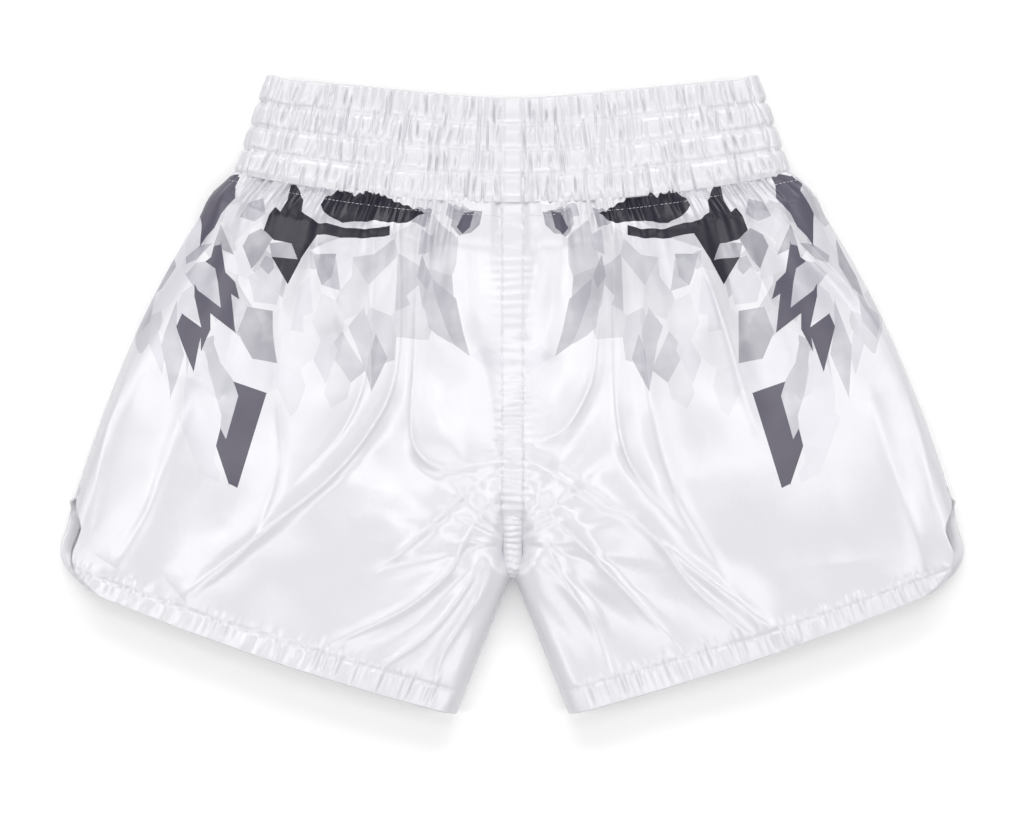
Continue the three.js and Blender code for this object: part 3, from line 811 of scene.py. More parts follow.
def join_at_edge(one, two):
    for i in range(len(one)):
        a, b = one[i], one[(i + 1) % len(one)]
        if b in two and a in two and two[(two.index(b) + 1) % len(two)] == a:
            k = two.index(a)
            rest = [two[(k + n) % len(two)] for n in range(1, len(two) - 1)]
            shape = one[: i + 1] + rest + one[i + 1:]
            corners = len(shape)
            if all(turn_area(shape[n - 1], shape[n], shape[(n + 1) % corners]) >= -1e-9
                   for n in range(corners)):
                return shape
    return None


facet_parts = [(tone, part) for tone, points in PRINT for part in without_dents(points)]
edge_count = sum(len(part) for _, part in facet_parts)
print(len(PRINT), "facets in", len(facet_parts), "parts,", edge_count, "edges")


# %% Inside a facet
PRINT_SCALE = 1.011  # the facets are listed this much larger than they lie on the cloth
FACET_SPREAD = 0.25  # each is grown by this much, so that neighbours meet without a gap


def inside_of(tree, place, part):
    """1 inside the part and 0 outside, from its straight edges."""
    depth = None
    for n in range(len(part)):
        (ax, ay), (bx, by) = part[n], part[(n + 1) % len(part)]
        length = math.hypot(bx - ax, by - ay)
        nx, ny = (ay - by) / length, (bx - ax) / length
        dot = tree.nodes.new("ShaderNodeVectorMath")
        dot.operation = "DOT_PRODUCT"
        tree.links.new(place, dot.inputs[0])
        dot.inputs[1].default_value = (nx, ny, -(nx * ax + ny * ay) + FACET_SPREAD)
        distance = dot.outputs["Value"]
        depth = distance if depth is None else math_node(tree, "MINIMUM", depth, distance)
    return math_node(tree, "GREATER_THAN", depth, 0.0)


def print_place(tree):
    """The place on the print as (distance from the centre, height, 1), in millimetres."""
    flat = tree.nodes.new("ShaderNodeUVMap")
    flat.uv_map = "print"
    split = tree.nodes.new("ShaderNodeSeparateXYZ")
    tree.links.new(flat.outputs["UV"], split.inputs[0])
    x, y = (math_node(tree, "MULTIPLY", split.outputs[n], PRINT_SCALE / MM) for n in (0, 1))
    x = math_node(tree, "ABSOLUTE", x)
    joined = tree.nodes.new("ShaderNodeCombineXYZ")
    tree.links.new(x, joined.inputs[0])
    tree.links.new(y, joined.inputs[1])
    joined.inputs[2].default_value = 1
    return joined.outputs[0]


# %% The weave
FLOAT_LENGTH = 0.16  # how slowly the weave changes along the grain, against across it


def weave_height(tree, scale):
    """Satin's long floats: fine lines along the grain, broken up along their length."""
    coords = tree.nodes.new("ShaderNodeTexCoord").outputs["Object"]
    floats = noise(tree, stretched(tree, coords, (scale, scale * FLOAT_LENGTH, scale)), 1.0)
    return coords, floats


# %% The faint facets behind the print
SHARD = 19  # how wide they are, in millimetres
SHARD_FLAT = 0.6  # the grid's squeeze, which makes them taller than wide
SHARDS_MIDDLE = (158, 80)  # they fill an oval round this place on each half
SHARDS_REACH = (112, 78)
SHARD_STRENGTH = 0.8


def shards(tree, place, faded):
    """How strongly the faint facets that fill the print's background show."""
    cells = tree.nodes.new("ShaderNodeTexVoronoi")
    cells.voronoi_dimensions = "2D"
    cells.inputs["Scale"].default_value = 1.0
    grid = (1 / SHARD, SHARD_FLAT / SHARD, 1)
    tree.links.new(stretched(tree, place, grid), cells.inputs["Vector"])
    centre = tree.nodes.new("ShaderNodeSeparateXYZ")
    tree.links.new(cells.outputs["Position"], centre.inputs[0])
    tint = tree.nodes.new("ShaderNodeSeparateXYZ")
    tree.links.new(cells.outputs["Color"], tint.inputs[0])
    squares = []
    for axis in (0, 1):
        offset = math_node(tree, "SUBTRACT", centre.outputs[axis], SHARDS_MIDDLE[axis] * grid[axis])
        offset = math_node(tree, "DIVIDE", offset, SHARDS_REACH[axis] * grid[axis])
        squares.append(math_node(tree, "POWER", offset, 2.0))
    near = math_node(tree, "LESS_THAN", math_node(tree, "ADD", *squares), 1.0)
    strength = math_node(tree, "POWER", tint.outputs[0], 1.3)
    strength = math_node(tree, "MULTIPLY", strength, SHARD_STRENGTH)
    return math_node(tree, "MULTIPLY", math_node(tree, "MULTIPLY", near, strength), faded)


# %% The satin
SATIN_GLOSS = 0.95
DARK_GLOSS = 0.3  # the print's ink dulls the darkest facets
WEAVE = 2600
WEAVE_SHARE = 0.06  # of the small creases' height
CREASES = (70, 38, 70)
ROUGH, ROUGH_CHANGE = 0.19, 0.10
FADE, FADE_CHANGE = 0.27, 1.3
FLOAT_SHADE = 0.965


def multiply_add(tree, a, factor, addend):
    result = math_node(tree, "MULTIPLY_ADD", a, factor)
    result.node.inputs[2].default_value = addend
    return result


def make_satin(name, printed):
    material, tree, shader = new_material(name, SATIN_WHITE, 0.25)
    shader.inputs["Specular IOR Level"].default_value = SATIN_GLOSS
    coords, floats = weave_height(tree, WEAVE)
    crease = noise(tree, stretched(tree, coords, CREASES), 1.0, 3.0)
    height = math_node(tree, "ADD", math_node(tree, "MULTIPLY", floats, WEAVE_SHARE), crease)
    bump(tree, shader, height, 0.35, 0.0011)
    patchy = multiply_add(tree, noise(tree, coords, 55, 3.0), ROUGH_CHANGE, ROUGH)
    tree.links.new(patchy, shader.inputs["Roughness"])
    colour = mix_colour(tree, floats, SATIN_WHITE, tuple(c * FLOAT_SHADE for c in SATIN_WHITE))
    if printed:
        place = print_place(tree)
        cloudy = noise(tree, stretched(tree, place, (0.045, 0.045, 1)), 1.0, 2.0)
        faded = multiply_add(tree, cloudy, FADE_CHANGE, FADE)
        faded.node.use_clamp = True
        colour = mix_colour(tree, shards(tree, place, faded), colour, GREYS["light"])
        darkness = 0.0
        for tone in reversed(GREYS):
            parts = [inside_of(tree, place, part) for t, part in facet_parts if t == tone]
            if parts:
                covered = parts[0]
                for part in parts[1:]:
                    covered = math_node(tree, "MAXIMUM", covered, part)
                if tone not in ("charcoal", "dark"):
                    covered = math_node(tree, "MULTIPLY", covered, faded)
                else:
                    darkness = math_node(tree, "MAXIMUM", covered, darkness)
                colour = mix_colour(tree, covered, colour, GREYS[tone])
        gloss = multiply_add(tree, darkness, DARK_GLOSS - SATIN_GLOSS, SATIN_GLOSS)
        tree.links.new(gloss, shader.inputs["Specular IOR Level"])
    tree.links.new(colour, shader.inputs["Base Color"])
    return material


printed_satin = make_satin("printed_satin", True)
plain_satin = make_satin("plain_satin", False)
print("satin nodes:", len(printed_satin.node_tree.nodes))


# %% Lining, elastic, thread and label
def make_woven(name, colour, roughness, across, down, depth):
    """Crossed threads: two sets of ridges at right angles."""
    material, tree, shader = new_material(name, colour, roughness)
    coords = tree.nodes.new("ShaderNodeTexCoord").outputs["Object"]
    heights = []
    for direction, scale in (("X", across), ("Y", down)):
        wave = tree.nodes.new("ShaderNodeTexWave")
        wave.bands_direction = direction
        wave.inputs["Scale"].default_value = scale
        wave.inputs["Distortion"].default_value = 0.6
        tree.links.new(coords, wave.inputs["Vector"])
        heights.append(wave.outputs["Fac"])
    height = math_node(tree, "MAXIMUM", *heights)
    bump(tree, shader, height, 0.5, depth)
    worn = math_node(tree, "MULTIPLY", noise(tree, coords, 90, 4.0), 0.5)
    dark = tuple(c * 0.86 for c in colour)
    tree.links.new(mix_colour(tree, worn, colour, dark), shader.inputs["Base Color"])
    return material


lining_cloth = make_woven("lining_cloth", (0.80, 0.80, 0.83), 0.7, 400, 400, 0.0002)
elastic_webbing = make_woven("elastic_webbing", (0.86, 0.86, 0.84), 0.8, 250, 500, 0.0004)
label_ribbon = make_woven("label_ribbon", (0.88, 0.88, 0.88), 0.45, 900, 900, 0.0001)
thread_spun = make_woven("thread_spun", (0.76, 0.755, 0.79), 0.5, 900, 500, 0.0001)

# %% [markdown]
# ## The four panels
# Each leg has a front and a back panel, cut in one from waist to hem. They meet at the side
# seam, at the inseam and, between them, at the centre strips. Each panel's place is baked into
# its points; it is not tied to the hips or to a leg, so it does not bend when the leg is lifted.

# %% Panel grids
ROWS = 280
FLAT_COLUMNS = 300
ABOVE_SEAM = -0.006  # the panels start a little under the waistband's edge
INNER_STEPS = 11
SIDE_STEPS = {"front": 14, "back": 22}
UNEVEN = 10  # the wearer's right half was cut with its print this much further out
PRINT_PULL = 0.9  # how far a pleat draws the print down with it


def panel_rows():
    """Rows from the waist seam to the hem, closer together near both ends."""
    fine = np.linspace(ABOVE_SEAM, 1, 4000)
    density = 1 + 0.8 * smooth((0.2 - fine) / 0.06) + 1.2 * smooth((fine - 0.86) / 0.04)
    share = np.cumsum(density)
    share = (share - share[0]) / (share[-1] - share[0])
    return np.interp(np.linspace(0, 1, ROWS), share, fine)[:, None]


def panel_places(face):
    inner = np.linspace(0, 1, INNER_STEPS + 1)[:-1]
    flat = np.linspace(1, 2, FLAT_COLUMNS)[:-1]
    return np.concatenate([inner, flat, np.linspace(2, 3, SIDE_STEPS[face])])


def bend_at_fold(obj):
    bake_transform(obj)


def word(side):
    return "left" if side > 0 else "right"


# %% Where the print lies on a panel
def print_map(side, face, v, places):
    """The flat map: the plain place, drawn down by the pleats and shifted on one half."""
    plain, _, share, _ = lay_out(v, places, face)
    pull = waist_pleats(share, v * WAIST_TO_ROW + 0 * share, FRONT_SEEDS[side])
    shift = 0 * pull
    if side < 0:
        high_up = 0.45 + 0.55 * smooth(plain[..., 1] / 50)
        shift = UNEVEN * smooth((plain[..., 0] - 50) / 70) * high_up
    return plain[..., :2] * [side, 1] + np.stack([shift, PRINT_PULL * (pull - 1)], -1)


# %% The panels
for side in (1, -1):
    for face in ("front", "back"):
        v = panel_rows()
        places = panel_places(face)
        points = cloth(side, face, v, places)
        flat_map = print_map(side, face, v, places)
        name = f"{face}_panel_satin_{word(side)}"
        panel = grid_piece(name, points, printed_satin, flip=(side > 0) != (face == "front"),
                           flat_map=flat_map)
        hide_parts(f"{face}_panel_{word(side)}", f"leg_{face}_{word(side)}")
        bend_at_fold(panel)

# %% [markdown]
# ## Turned edges
# A hem is the panel's own end, folded in and stitched down; the slit's edges are faced the
# same way. Each is a strip that starts at the cloth's edge, rolls over it and lies inside.
# The seam allowances are strips too, which lie flat behind their seams.

# %% Strips that roll over an edge
ROLL = 1.0  # the radius of the turned cloth
ROLL_STEPS = 7


def round_edge(edge, normal, outwards, radius, angles):
    """Rows round a turned edge, each at an angle from the cloth's outer side."""
    centre = edge - normal * radius
    return [centre + normal * radius * math.cos(a) + outwards * radius * math.sin(a) for a in angles]


def rolled(edge, inner_side, outwards, normal):
    """Rows that roll from the edge to the first inner row, then follow the inner rows."""
    rows = round_edge(edge, normal, outwards, ROLL, np.linspace(0, math.pi, ROLL_STEPS))
    return np.stack([*rows, *inner_side])


def unit(vectors):
    return vectors / np.linalg.norm(vectors, axis=-1, keepdims=True)


def place_from_edge(v, face, distance):
    """The place that lies a distance in from the cloth's side edge, along the cloth."""
    r = row(v)
    radius = (r["high"] - r["low"]) / 2
    arc = radius * side_sweep(v, face)
    length = np.linalg.norm(r["outer"] - r["inner"], axis=-1)
    flat = length - radius - r["inner_radius"]
    return np.where(distance < arc, 3 - distance / arc, 2 - (distance - arc) / flat)


def lay_normal(side, face, v, place):
    return lay_out(v, place, face)[1] * [side, 1, 1]


# %% Hems
HEM_ROWS = 9
NEAR_HEM = 0.985  # a row beside the edge, to tell which way is outwards
for side in (1, -1):
    for face in ("front", "back"):
        places = panel_places(face)
        edge = cloth(side, face, 1.0, places)
        outwards = unit(edge - cloth(side, face, NEAR_HEM, places))
        inner_rows = [cloth(side, face, 1 - s / ROW_LENGTH, places, inset=2 * ROLL)
                      for s in np.linspace(1, HEM_WIDTH, HEM_ROWS)]
        points = rolled(edge, inner_rows, outwards, lay_normal(side, face, 1.0, places))
        name = f"{face}_hem_satin_{word(side)}"
        hem = grid_piece(name, points, plain_satin, flip=(side > 0) != (face == "front"))
        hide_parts(f"{face}_hem_{word(side)}")
        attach(hem, f"leg_{word(side)}")

# %% Slit facings
FACING_WIDTH = 8
FACING_ROWS = 6
FACING_STEPS = 40
for side in (1, -1):
    for face in ("front", "back"):
        v = np.linspace(SLIT_ROW, 1, FACING_STEPS)
        edge = cloth(side, face, v, 3.0)
        opening = smooth((v - SLIT_ROW) / 0.02)[:, None]  # no roll where the slit starts
        outwards = unit(edge - cloth(side, face, v, place_from_edge(v, face, 1.5))) * opening
        inner_rows = [cloth(side, face, v, place_from_edge(v, face, s), inset=2 * ROLL)
                      for s in np.linspace(1, FACING_WIDTH, FACING_ROWS)]
        points = rolled(edge, inner_rows, outwards, lay_normal(side, face, v, 3.0))
        name = f"slit_facing_satin_{face}_{word(side)}"
        facing = grid_piece(name, points, plain_satin, flip=(side > 0) == (face == "front"))
        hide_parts(f"slit_facing_{face}_{word(side)}")
        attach(facing, f"leg_{word(side)}")

# %% Seam allowances
ALLOWANCE = 9
ALLOWANCE_INSET = 1.1
ALLOWANCE_STEPS = 5
INSEAM_ALLOWANCE = 0.35  # the same width, as a share of the way round the inner fold
for side in (1, -1):
    v = np.linspace(0.01, SLIT_ROW - 0.004, 120)
    strip = [cloth(side, "back", v, place_from_edge(v, "back", s), inset=ALLOWANCE_INSET)
             for s in np.linspace(0, ALLOWANCE, ALLOWANCE_STEPS)]
    name = f"side_seam_allowance_{word(side)}"
    allowance = grid_piece(name, np.stack(strip), plain_satin, flip=side < 0)
    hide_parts(f"side_seam_{word(side)}", f"leg_side_seam_{word(side)}")
    bend_at_fold(allowance)
    v = np.linspace(FOLD_ROW + 0.012, 0.985, 50)
    strip = [cloth(side, "back", v, place, inset=ALLOWANCE_INSET)
             for place in np.linspace(0, INSEAM_ALLOWANCE, ALLOWANCE_STEPS)]
    name = f"inseam_allowance_{word(side)}"
    allowance = grid_piece(name, np.stack(strip), plain_satin, flip=side > 0)
    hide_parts(f"inseam_{word(side)}")
    bend_at_fold(allowance)

# %% [markdown]
# ## The waistband
# Four elastics run in four stitched channels, inside one band of satin that is folded at the
# top. The elastic has drawn the satin together, so the band puffs out over each channel, is
# pinched at each row of stitches, and is crossed by upright gathers a few millimetres apart.
# One flat, ungathered strip stands at the centre.

# %% The band's shape
BULGE = 2.4  # how far each channel puffs out
BAND_MIDDLE = WAIST_HIGH / 2
BAND_RADIUS = WAIST_HIGH / 2 - BULGE
TOP_FOLD = 1.5  # the fold at the top stands this much beyond the band's own edge
TOP_DIP = 13.7  # the top edge is a shallow V, this deep at the centre
TOP_SET = 4.4  # how far the top edge lies below its own corners
print("band", round(WAIST_HIGH, 1), "mm high,", 2 * WAIST_HALF_TOP, "mm across at the top")


def band_loop(s, t):
    """Plain place on the band: s goes once round it, t from the top fold to the waist seam."""
    half = WAIST_HALF_TOP + (WAIST_HALF_SEAM - PINCH - WAIST_HALF_TOP) * t - BULGE
    straight = half - BAND_RADIUS
    bend = math.pi * BAND_RADIUS
    total = 4 * straight + 2 * bend
    d = (s % 1) * total
    first = d < straight
    turn_one = ~first & (d < straight + bend)
    under = ~first & ~turn_one & (d < 3 * straight + bend)
    turn_two = ~first & ~turn_one & ~under & (d < 3 * straight + 2 * bend)
    a1 = math.pi / 2 - (d - straight) / BAND_RADIUS
    a2 = -math.pi / 2 - (d - 3 * straight - bend) / BAND_RADIUS
    angle = np.select([first, turn_one, under, turn_two], [math.pi / 2, a1, -math.pi / 2, a2],
                      math.pi / 2)
    x0 = np.select([first, turn_one, under, turn_two],
                   [d, straight, straight - (d - straight - bend), -straight], d - total)
    x = x0 + np.where(turn_one | turn_two, BAND_RADIUS * np.cos(angle), 0)
    z = BAND_MIDDLE + BAND_RADIUS * np.sin(angle)
    out = np.clip(np.abs(x) / half, 0, 1)
    dip = 1 - out**2
    dipped = 0.5 * (1 - out) + 0.25 * (1 + np.cos(math.pi * out))
    top = TOP_SIDE_Y - TOP_FOLD - TOP_DIP * dipped - TOP_SET * smooth((1 - out) / 0.1)
    seam = SEAM_SIDE_Y - dip * WAIST_DIP
    y = top + (seam - top) * t
    flat_turn = turn_one | turn_two
    normal = np.stack([np.where(flat_turn, np.cos(angle), 0), 0 * x, np.sin(angle)], -1)
    return np.stack([x, y, z], -1), normal, x


# %% The band's puffs, gathers and creases
BAND_ROUND = 800  # the relaxed band's length, once round
GATHERS = 118
GATHER = 2.3
CRACK = 3.4
CRACK_ROOM = 1.4  # how far the front puffs clear of the elastics
CRACKS_APART, LONG_CRACKS_APART = 7.5, 15
CRACK_SEEDS = (75, 76)
ROW_PINCH = 1.1  # how much deeper the cloth sinks at the threads
FLAT_STRIP_HALF = 5.5  # the ungathered strip at the centre
STRIP_GROOVE = 0.5
CLEAR_OF_ELASTIC = 0.3
elastic_low, elastic_high = box_mm("elastic_band_1")
ELASTIC_HIGH, ELASTIC_LOW = elastic_high[2], elastic_low[2]
print("elastics from", round(ELASTIC_LOW, 1), "to", round(ELASTIC_HIGH, 1), "mm high")


def channel_bulge(t):
    u = (np.clip(t, 0, 1) * CHANNELS) % 1
    full = BULGE * (1 - np.abs(2 * u - 1) ** 4)
    return np.where(t <= 1 / CHANNELS / 2, np.maximum(full, BULGE * 0.75), full)


def cracks(around, t, channels, pitch, seed):
    """Narrow upright creases between the gathers, each within its own channel of the band."""
    table = np.random.default_rng(seed).uniform(0, 1, (4096, 6))
    channel = np.floor(np.clip(t, 0, 0.999) * channels)
    share = t * channels - channel
    cell = np.floor(around / pitch)
    total = np.zeros(np.shape(around))
    for step in (-1, 0, 1):
        pick = ((cell + step + 977 * channel) % 4096).astype(int)
        place, lean, depth, start, stop, wide = np.moveaxis(table[pick], -1, 0)
        middle = (cell + step + 0.1 + 0.8 * place) * pitch
        sway = (lean - 0.5) * 5 * (share - 0.5) + 0.5 * np.sin(share * 5 + 9 * lean)
        d = around - middle - sway
        reach = smooth((share - 0.45 * start) / 0.2 + 0.4)
        reach = reach * smooth((1.0 - 0.45 * stop - share) / 0.2 + 0.4)
        crease = depth**0.8 * reach * np.exp(-np.abs(d / (0.42 + 0.4 * wide)) ** 1.6)
        total = np.maximum(total, crease)
    return total


def pinched_rows(around, t, down):
    """How strongly the threads between the channels draw the cloth in."""
    from_row = (t * CHANNELS + 0.5) % 1 - 0.5
    pinch = np.exp(-((from_row / 0.09) ** 2)) * smooth(t * 20) * smooth((1 - t) * 20)
    return pinch * np.clip(0.55 + 0.9 * soft_noise(around, down, 5, 78), 0, 1.2)


# %% Points of the band
def band(s, t, inset=0.0, gather=GATHER):
    """Finished points of the band; gather sets how strongly the thread has drawn it up."""
    s, t = np.broadcast_arrays(np.asarray(s, float), np.asarray(t, float))
    points, normal, x = band_loop(s, t)
    down = t * WAISTBAND_CENTRE
    around = s * BAND_ROUND
    drawn = gather / GATHER
    drift = 1.6 * soft_noise(around, down * 0.35, 17, 71) + 0.7 * soft_noise(around, down, 9, 72)
    wave = np.abs(np.sin(math.pi * GATHERS * s + drift)) ** 0.6
    strength = np.clip(0.5 + 0.75 * soft_noise(around, down * 0.45, 7, 73), 0.08, 1.1)
    side_share = 0.42 + 0.58 * np.clip(np.abs(x) / WAIST_HALF_TOP, 0, 1) ** 3
    gathered = smooth((np.abs(x) - FLAT_STRIP_HALF) / 3) + (normal[..., 2] < 0)
    gathered = np.clip(gathered, 0, 1)
    height = channel_bulge(t) * side_share + gather * strength * (wave - 0.85) * gathered
    height = height + CRACK_ROOM * np.clip(normal[..., 2], 0, 1) * drawn
    height = height - ROW_PINCH * pinched_rows(around, t, down) * side_share * gathered * drawn
    creased = np.maximum(cracks(around, t, CHANNELS, CRACKS_APART, CRACK_SEEDS[0]),
                         cracks(around + 3, t, 1.6, LONG_CRACKS_APART, CRACK_SEEDS[1]))
    height = height - CRACK * creased * gathered * drawn
    beside_strip = np.exp(-(((np.abs(x) - FLAT_STRIP_HALF - 1) / 1.2) ** 2)) * (normal[..., 2] > 0)
    height = height - STRIP_GROOVE * beside_strip * drawn
    points = points + normal * (height - inset)[..., None]
    z = np.clip(points[..., 2], CLEAR_OF_FLOOR + inset, None)
    if inset == 0:
        above, below = ELASTIC_HIGH + CLEAR_OF_ELASTIC, ELASTIC_LOW - CLEAR_OF_ELASTIC
        z = np.where(normal[..., 2] > 0.8, np.maximum(z, above), z)
        z = np.where(normal[..., 2] < -0.8, np.minimum(z, below), z)
    points[..., 2] = z
    return points, normal


# %% The casing
BAND_COLUMNS = 1900
BAND_ROWS = 37
TOP_ROLL, TOP_ROLL_STEPS = 2.4, 9
TUCK, TUCK_STEPS = 1.4, 6  # the lower edge turns in over the waist seam
FRONT_DENSITY = 0.35  # columns stand closer on the front than on the back
s = np.linspace(0, 1, BAND_COLUMNS, endpoint=False)
s = s - FRONT_DENSITY * np.sin(2 * math.pi * s) / (2 * math.pi)
t = np.linspace(0, 1, BAND_ROWS)
outer = np.stack([band(s, ti)[0] for ti in t])
up = np.array([0, 1.0, 0])
top_angles = np.linspace(math.pi * 1.15, 0, TOP_ROLL_STEPS)[:-1]
roll_rows = round_edge(*band(s, 0.0), up, TOP_ROLL, top_angles)
tuck_angles = np.linspace(0, math.pi * 0.6, TUCK_STEPS)[1:]
tuck_rows = round_edge(*band(s, 1.0), -up, TUCK, tuck_angles)
casing_points = np.concatenate([np.stack(roll_rows), outer, np.stack(tuck_rows)])
casing = grid_piece("waistband_satin", casing_points, plain_satin, ring=True)
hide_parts("waistband_casing")
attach(casing, "hips")
tidy_range("casing", casing_points)

# %% The lining and the elastics
LINING_INSET = 2 * TOP_ROLL + 1.0
LINING_GATHER = 0.25
t = np.linspace(0.02, 0.985, 18)
s = np.linspace(0, 1, BAND_COLUMNS // 2, endpoint=False)
lining_points = np.stack([band(s, ti, LINING_INSET, LINING_GATHER)[0] for ti in t])
lining = grid_piece("waistband_lining_cloth", lining_points, lining_cloth, ring=True, flip=True)
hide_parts("waistband_lining")
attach(lining, "hips")
for n in range(1, CHANNELS + 1):
    elastic = frame["nodes"][f"elastic_band_{n}"]
    elastic.data.materials.clear()
    elastic.data.materials.append(elastic_webbing)
print(CHANNELS, "elastics covered in webbing")

# %% [markdown]
# ## Centre strips and gusset
# A folded strip covers the seam between the two front panels, and another the back one. The
# thread has puckered both of its edges. They meet under the crotch in a thick gusset.


# %% Strips
STRIP_PROUD = 0.45  # how far the strip stands above the panels
STRIP_COLUMNS = 17
STRIP_OVERLAP = 1.12  # its edges lie this far out, as a share of the gap between the panels
STRIP_ROWS = 150
STRIP_WALL = 0.6


def strip_rows(v, face):
    """The strip follows the edges of the two panels that it joins."""
    up = 1 if face == "front" else -1
    left, right = (cloth(side, face, v, 0.0) for side in (1, -1))
    across = np.linspace(-STRIP_OVERLAP, STRIP_OVERLAP, STRIP_COLUMNS)
    seed = 81 if face == "front" else 91
    points = []
    for c in across:
        base = right + (left - right) * (c + 1) / 2
        y = base[..., 1]
        sunk_edge = (STRIP_PROUD + 0.25) * smooth((abs(c) - 0.85) / 0.27)
        crown = STRIP_PROUD + 0.35 * (1 - c * c) - sunk_edge
        lower = 0.2 + 0.8 * smooth((30 - y) / 60)
        ripple = 0.3 * lower * puckers(y, 5.5, seed + (c > 0)) * abs(c) ** 1.5
        ripple += 0.25 * lower * soft_noise(y, c * 8, 9, seed + 3)
        wander = np.sign(c) * 0.5 * puckers(y, 9.5, seed + 5) * abs(c) ** 4
        points.append(base + np.stack([wander, 0 * y, up * (crown + ripple)], -1))
    points = np.stack(points, 1)
    points[..., 2] = np.maximum(points[..., 2], CLEAR_OF_FLOOR)
    return points


for face, node in (("front", "front_centre_strip"), ("back", "back_centre_strip")):
    v = np.linspace(ABOVE_SEAM, 0.608, STRIP_ROWS)
    name = f"{face}_strip_satin"
    strip = grid_piece(name, strip_rows(v, face), plain_satin, flip=face == "back", wall=STRIP_WALL)
    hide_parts(node)
    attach(strip, "hips")

# %% The gusset's crown, from the front round the crotch to the back
GUSSET_END = 1.6  # how far the rounded end stands beyond the crotch
GUSSET_TURN = 9  # how far the turn reaches along the body
GUSSET_START_ROW = 0.585
GUSSET_TOP_STEPS = 17
GUSSET_STEPS = 150
LOW = 0.3  # the gusset's lowest line, above the floor
gusset_v = np.linspace(GUSSET_START_ROW, FOLD_ROW, 26)
left, right = (cloth(side, "front", gusset_v, 0.0) for side in (1, -1))
top = (left + right)[:GUSSET_TOP_STEPS] / 2
CROWN_HIGH = top[0, 2] + 1.1
CROWN_DROP = 3
turns = np.linspace(math.pi / 2, -math.pi / 2, 15)[:, None]
reach = (CROWN_HIGH - CROWN_DROP - LOW) / 2
bend_middle = np.array([0, CROTCH_Y + GUSSET_TURN - GUSSET_END, LOW + reach])
end_turn = bend_middle + np.cos(turns) * [0, -GUSSET_TURN, 0] + np.sin(turns) * [0, 0, reach]
crown_z = CROWN_HIGH - CROWN_DROP * smooth(np.linspace(0, 1, len(top)))
start = np.stack([0 * top[:, 0], top[:, 1], crown_z], -1)
start = start[start[:, 1] > bend_middle[1] + 1]
finish_line = start[::-1] * [1, 1, 0] + [0, 0, LOW]
crown_line = np.concatenate([start, end_turn, finish_line])
walked = np.concatenate([[0], np.cumsum(np.linalg.norm(np.diff(crown_line, axis=0), axis=1))])
length = np.linspace(0, walked[-1], GUSSET_STEPS)
crown_line = np.stack([np.interp(length, walked, crown_line[:, k]) for k in range(3)], -1)
print("gusset", round(walked[-1], 1), "mm from front to back")

# %% The gusset
GUSSET_HALF = 7.6
GUSSET_FLARE = 2.2  # how much wider it is where it joins the strip
GUSSET_DEPTH, GUSSET_END_DEPTH = 6.5, 4.5  # how far its edges drop, and how much more at the turn
GUSSET_COLUMNS = 17
tangent = unit(np.gradient(crown_line, axis=0))
outwards = unit(np.stack([0 * tangent[:, 0], tangent[:, 2], -tangent[:, 1]], -1))
from_turn = (length - length[-1] / 2) / 15
depth = GUSSET_DEPTH + GUSSET_END_DEPTH * np.exp(-(from_turn**2))
half = GUSSET_HALF + GUSSET_FLARE * np.exp(-((length / 16) ** 2))
rows = []
for c in np.linspace(-1, 1, GUSSET_COLUMNS):
    fold = 0.45 * puckers(length, 4.5, 101 + (c > 0)) * (1 - abs(c) ** 3)
    drop = depth * abs(c) ** 3.2
    rows.append(crown_line + outwards * (fold - drop)[:, None] + c * half[:, None] * [1, 0, 0])
gusset_points = np.stack(rows, 1)
gusset_points[..., 2] = np.maximum(gusset_points[..., 2], CLEAR_OF_FLOOR)
gusset = grid_piece("crotch_gusset_satin", gusset_points, plain_satin, wall=STRIP_WALL)
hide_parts("crotch_gusset")
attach(gusset, "hips")

# %% [markdown]
# ## Stitches
# One stitch is a short rounded thread. It is modelled once, and copied along every line of
# sewing: beside the strips, along the hems, under the waist seam, and in the waistband's
# pinched rows. A line of copies is one piece.

# %% One stitch
STITCH_LENGTH = 2.4
STITCH_HALF = 0.2
bpy.ops.object.select_all(action="DESELECT")
bpy.ops.mesh.primitive_uv_sphere_add(segments=6, ring_count=4, radius=1)
pattern = bpy.context.object
pattern.name = "stitch_pattern"
bpy.ops.object.mode_set(mode="EDIT")
bpy.ops.mesh.select_all(action="SELECT")
bpy.ops.transform.rotate(value=math.pi / 2, orient_axis="Y", center_override=(0, 0, 0))
bpy.ops.transform.resize(value=(STITCH_LENGTH / 2, STITCH_HALF, STITCH_HALF * 0.8))
bpy.ops.object.mode_set(mode="OBJECT")
stitch_verts = np.array([v.co for v in pattern.data.vertices])
stitch_faces = [list(p.vertices) for p in pattern.data.polygons]
bpy.data.objects.remove(pattern)
print("one stitch:", len(stitch_verts), "points,", len(stitch_faces), "faces")


# %% Copies of the stitch
def stitch_copy(middle, ends_apart, normal):
    """The stitch's points, stretched along ends_apart and flat on the surface."""
    along = unit(ends_apart)
    aside = unit(np.cross(normal, along))
    up = np.cross(along, aside)
    size = np.linalg.norm(ends_apart) / STITCH_LENGTH
    return (middle + stitch_verts[:, :1] * along * size + stitch_verts[:, 1:2] * aside
            + stitch_verts[:, 2:] * up)


def stitches(name, copies):
    """One piece of thread from a list of copied stitches."""
    faces = [[n * len(stitch_verts) + i for i in face]
             for n in range(len(copies)) for face in stitch_faces]
    obj = link_mesh(name, np.concatenate(copies), faces, thread_spun)
    print(f"{name}: {len(copies)} stitches")
    return obj


# %% Lines of stitches
STITCH_SPAN = (0.12, 0.88)  # where a stitch starts and ends, as shares of the pitch
STITCH_LIFT = 0.1


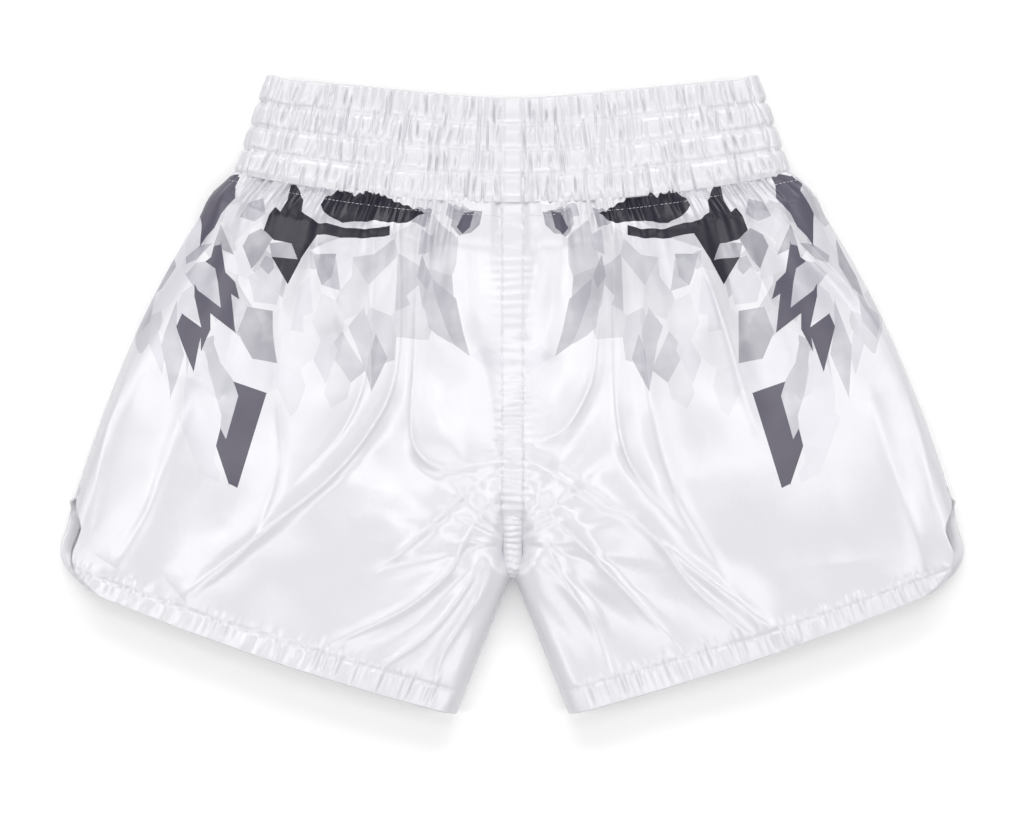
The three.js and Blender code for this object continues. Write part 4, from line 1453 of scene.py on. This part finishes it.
def stitch_line(name, path, normal, pitch=3.2):
    """Copies of the stitch along a path of points, each laid along it on the surface."""
    step = np.linalg.norm(np.diff(path, axis=0), axis=1)
    length = np.concatenate([[0], np.cumsum(step)])
    copies = []
    for n in range(int(length[-1] / pitch)):
        ends = [(n + f) * pitch for f in STITCH_SPAN]
        a, b = (np.array([np.interp(e, length, path[:, k]) for k in range(3)]) for e in ends)
        up = unit(np.array([np.interp(ends[0], length, normal[:, k]) for k in range(3)]))
        aside = unit(np.cross(up, b - a))
        lift = unit(np.cross(b - a, aside)) * STITCH_LIFT
        copies.append(stitch_copy((a + b) / 2 + lift, b - a, up))
    return stitches(name, copies)


def on_cloth(side, face, v, place):
    v, place = np.broadcast_arrays(np.asarray(v, float), np.asarray(place, float))
    return cloth(side, face, v, place), lay_normal(side, face, v, place)


# %% Hem, waist and slit stitches
TOPSTITCH_BELOW = 10  # under the waist seam
places = np.linspace(0.05, 2.98, 700)
for side in (1, -1):
    for face in ("front", "back"):
        path, normal = on_cloth(side, face, 1 - HEM_WIDTH / ROW_LENGTH, places)
        line = stitch_line(f"{face}_hem_stitches_{word(side)}", path, normal)
        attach(line, f"leg_{word(side)}")
    waist_places = np.linspace(0.03, 2.96, 700)
    path, normal = on_cloth(side, "front", TOPSTITCH_BELOW / ROW_LENGTH, waist_places)
    line = stitch_line(f"waist_topstitches_{word(side)}", path, normal)
    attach(line, "hips")

# %% Waistband stitches
for n in range(1, CHANNELS):
    s = np.linspace(0, 1, 1600)
    path, normal = band(s, n / CHANNELS)
    line = stitch_line(f"waistband_stitch_row_{n}", path, normal, pitch=3.0)
    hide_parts(f"waistband_stitch_{n}")
    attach(line, "hips")

# %% Strip stitches
STITCH_COLUMN = 2  # in from each edge of the strip
v = np.linspace(0.0, 0.6, 400)
for face in ("front", "back"):
    grid = strip_rows(v, face)
    up = np.tile([0, 0, 1.0 if face == "front" else -1.0], (len(v), 1))
    for column, name in ((STITCH_COLUMN, "right"), (STRIP_COLUMNS - 1 - STITCH_COLUMN, "left")):
        line = stitch_line(f"{face}_strip_stitches_{name}", grid[:, column], up)
        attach(line, "hips")

# %% [markdown]
# ## Bar tacks and the size label
# A bar tack is a few threads laid close together across the top of the slit. The label is a
# blank folded ribbon, sewn into the back of the waistband.

# %% Bar tacks
TACK_THREADS = 7
TACK_HALF = 2.6
TACK_ABOVE = 0.003  # rows from the slit's top to the first thread
TACK_STEP = 0.0019
TACK_PROUD = 0.15
for side in (1, -1):
    copies = []
    for n in range(TACK_THREADS):
        v = SLIT_ROW - TACK_ABOVE - n * TACK_STEP
        a, b = (cloth(side, face, v, place_from_edge(v, face, TACK_HALF)) for face in ("front", "back"))
        normal = unit(lay_normal(side, "front", v, 3.0))
        middle = cloth(side, "front", v, 3.0) + normal * TACK_PROUD
        copies.append(stitch_copy(middle, b - a, normal))
    tack = stitches(f"bartack_threads_{word(side)}", copies)
    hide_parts(f"slit_bartack_{word(side)}")
    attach(tack, f"leg_{word(side)}")

# %% The label
label_low, label_high = box_mm("size_label")
x = np.linspace(label_low[0], label_high[0], 18)
y = np.linspace(label_high[1], label_low[1], 14)
gx, gy = np.meshgrid(x, y)
wave = 0.35 * np.sin(gx / 7) * smooth((label_high[1] - gy) / 10)
gz = label_low[2] + 0.5 + wave
label = grid_piece("size_label_ribbon", np.stack([gx, gy, gz], -1), label_ribbon, wall=0.4)
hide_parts("size_label")
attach(label, "hips")
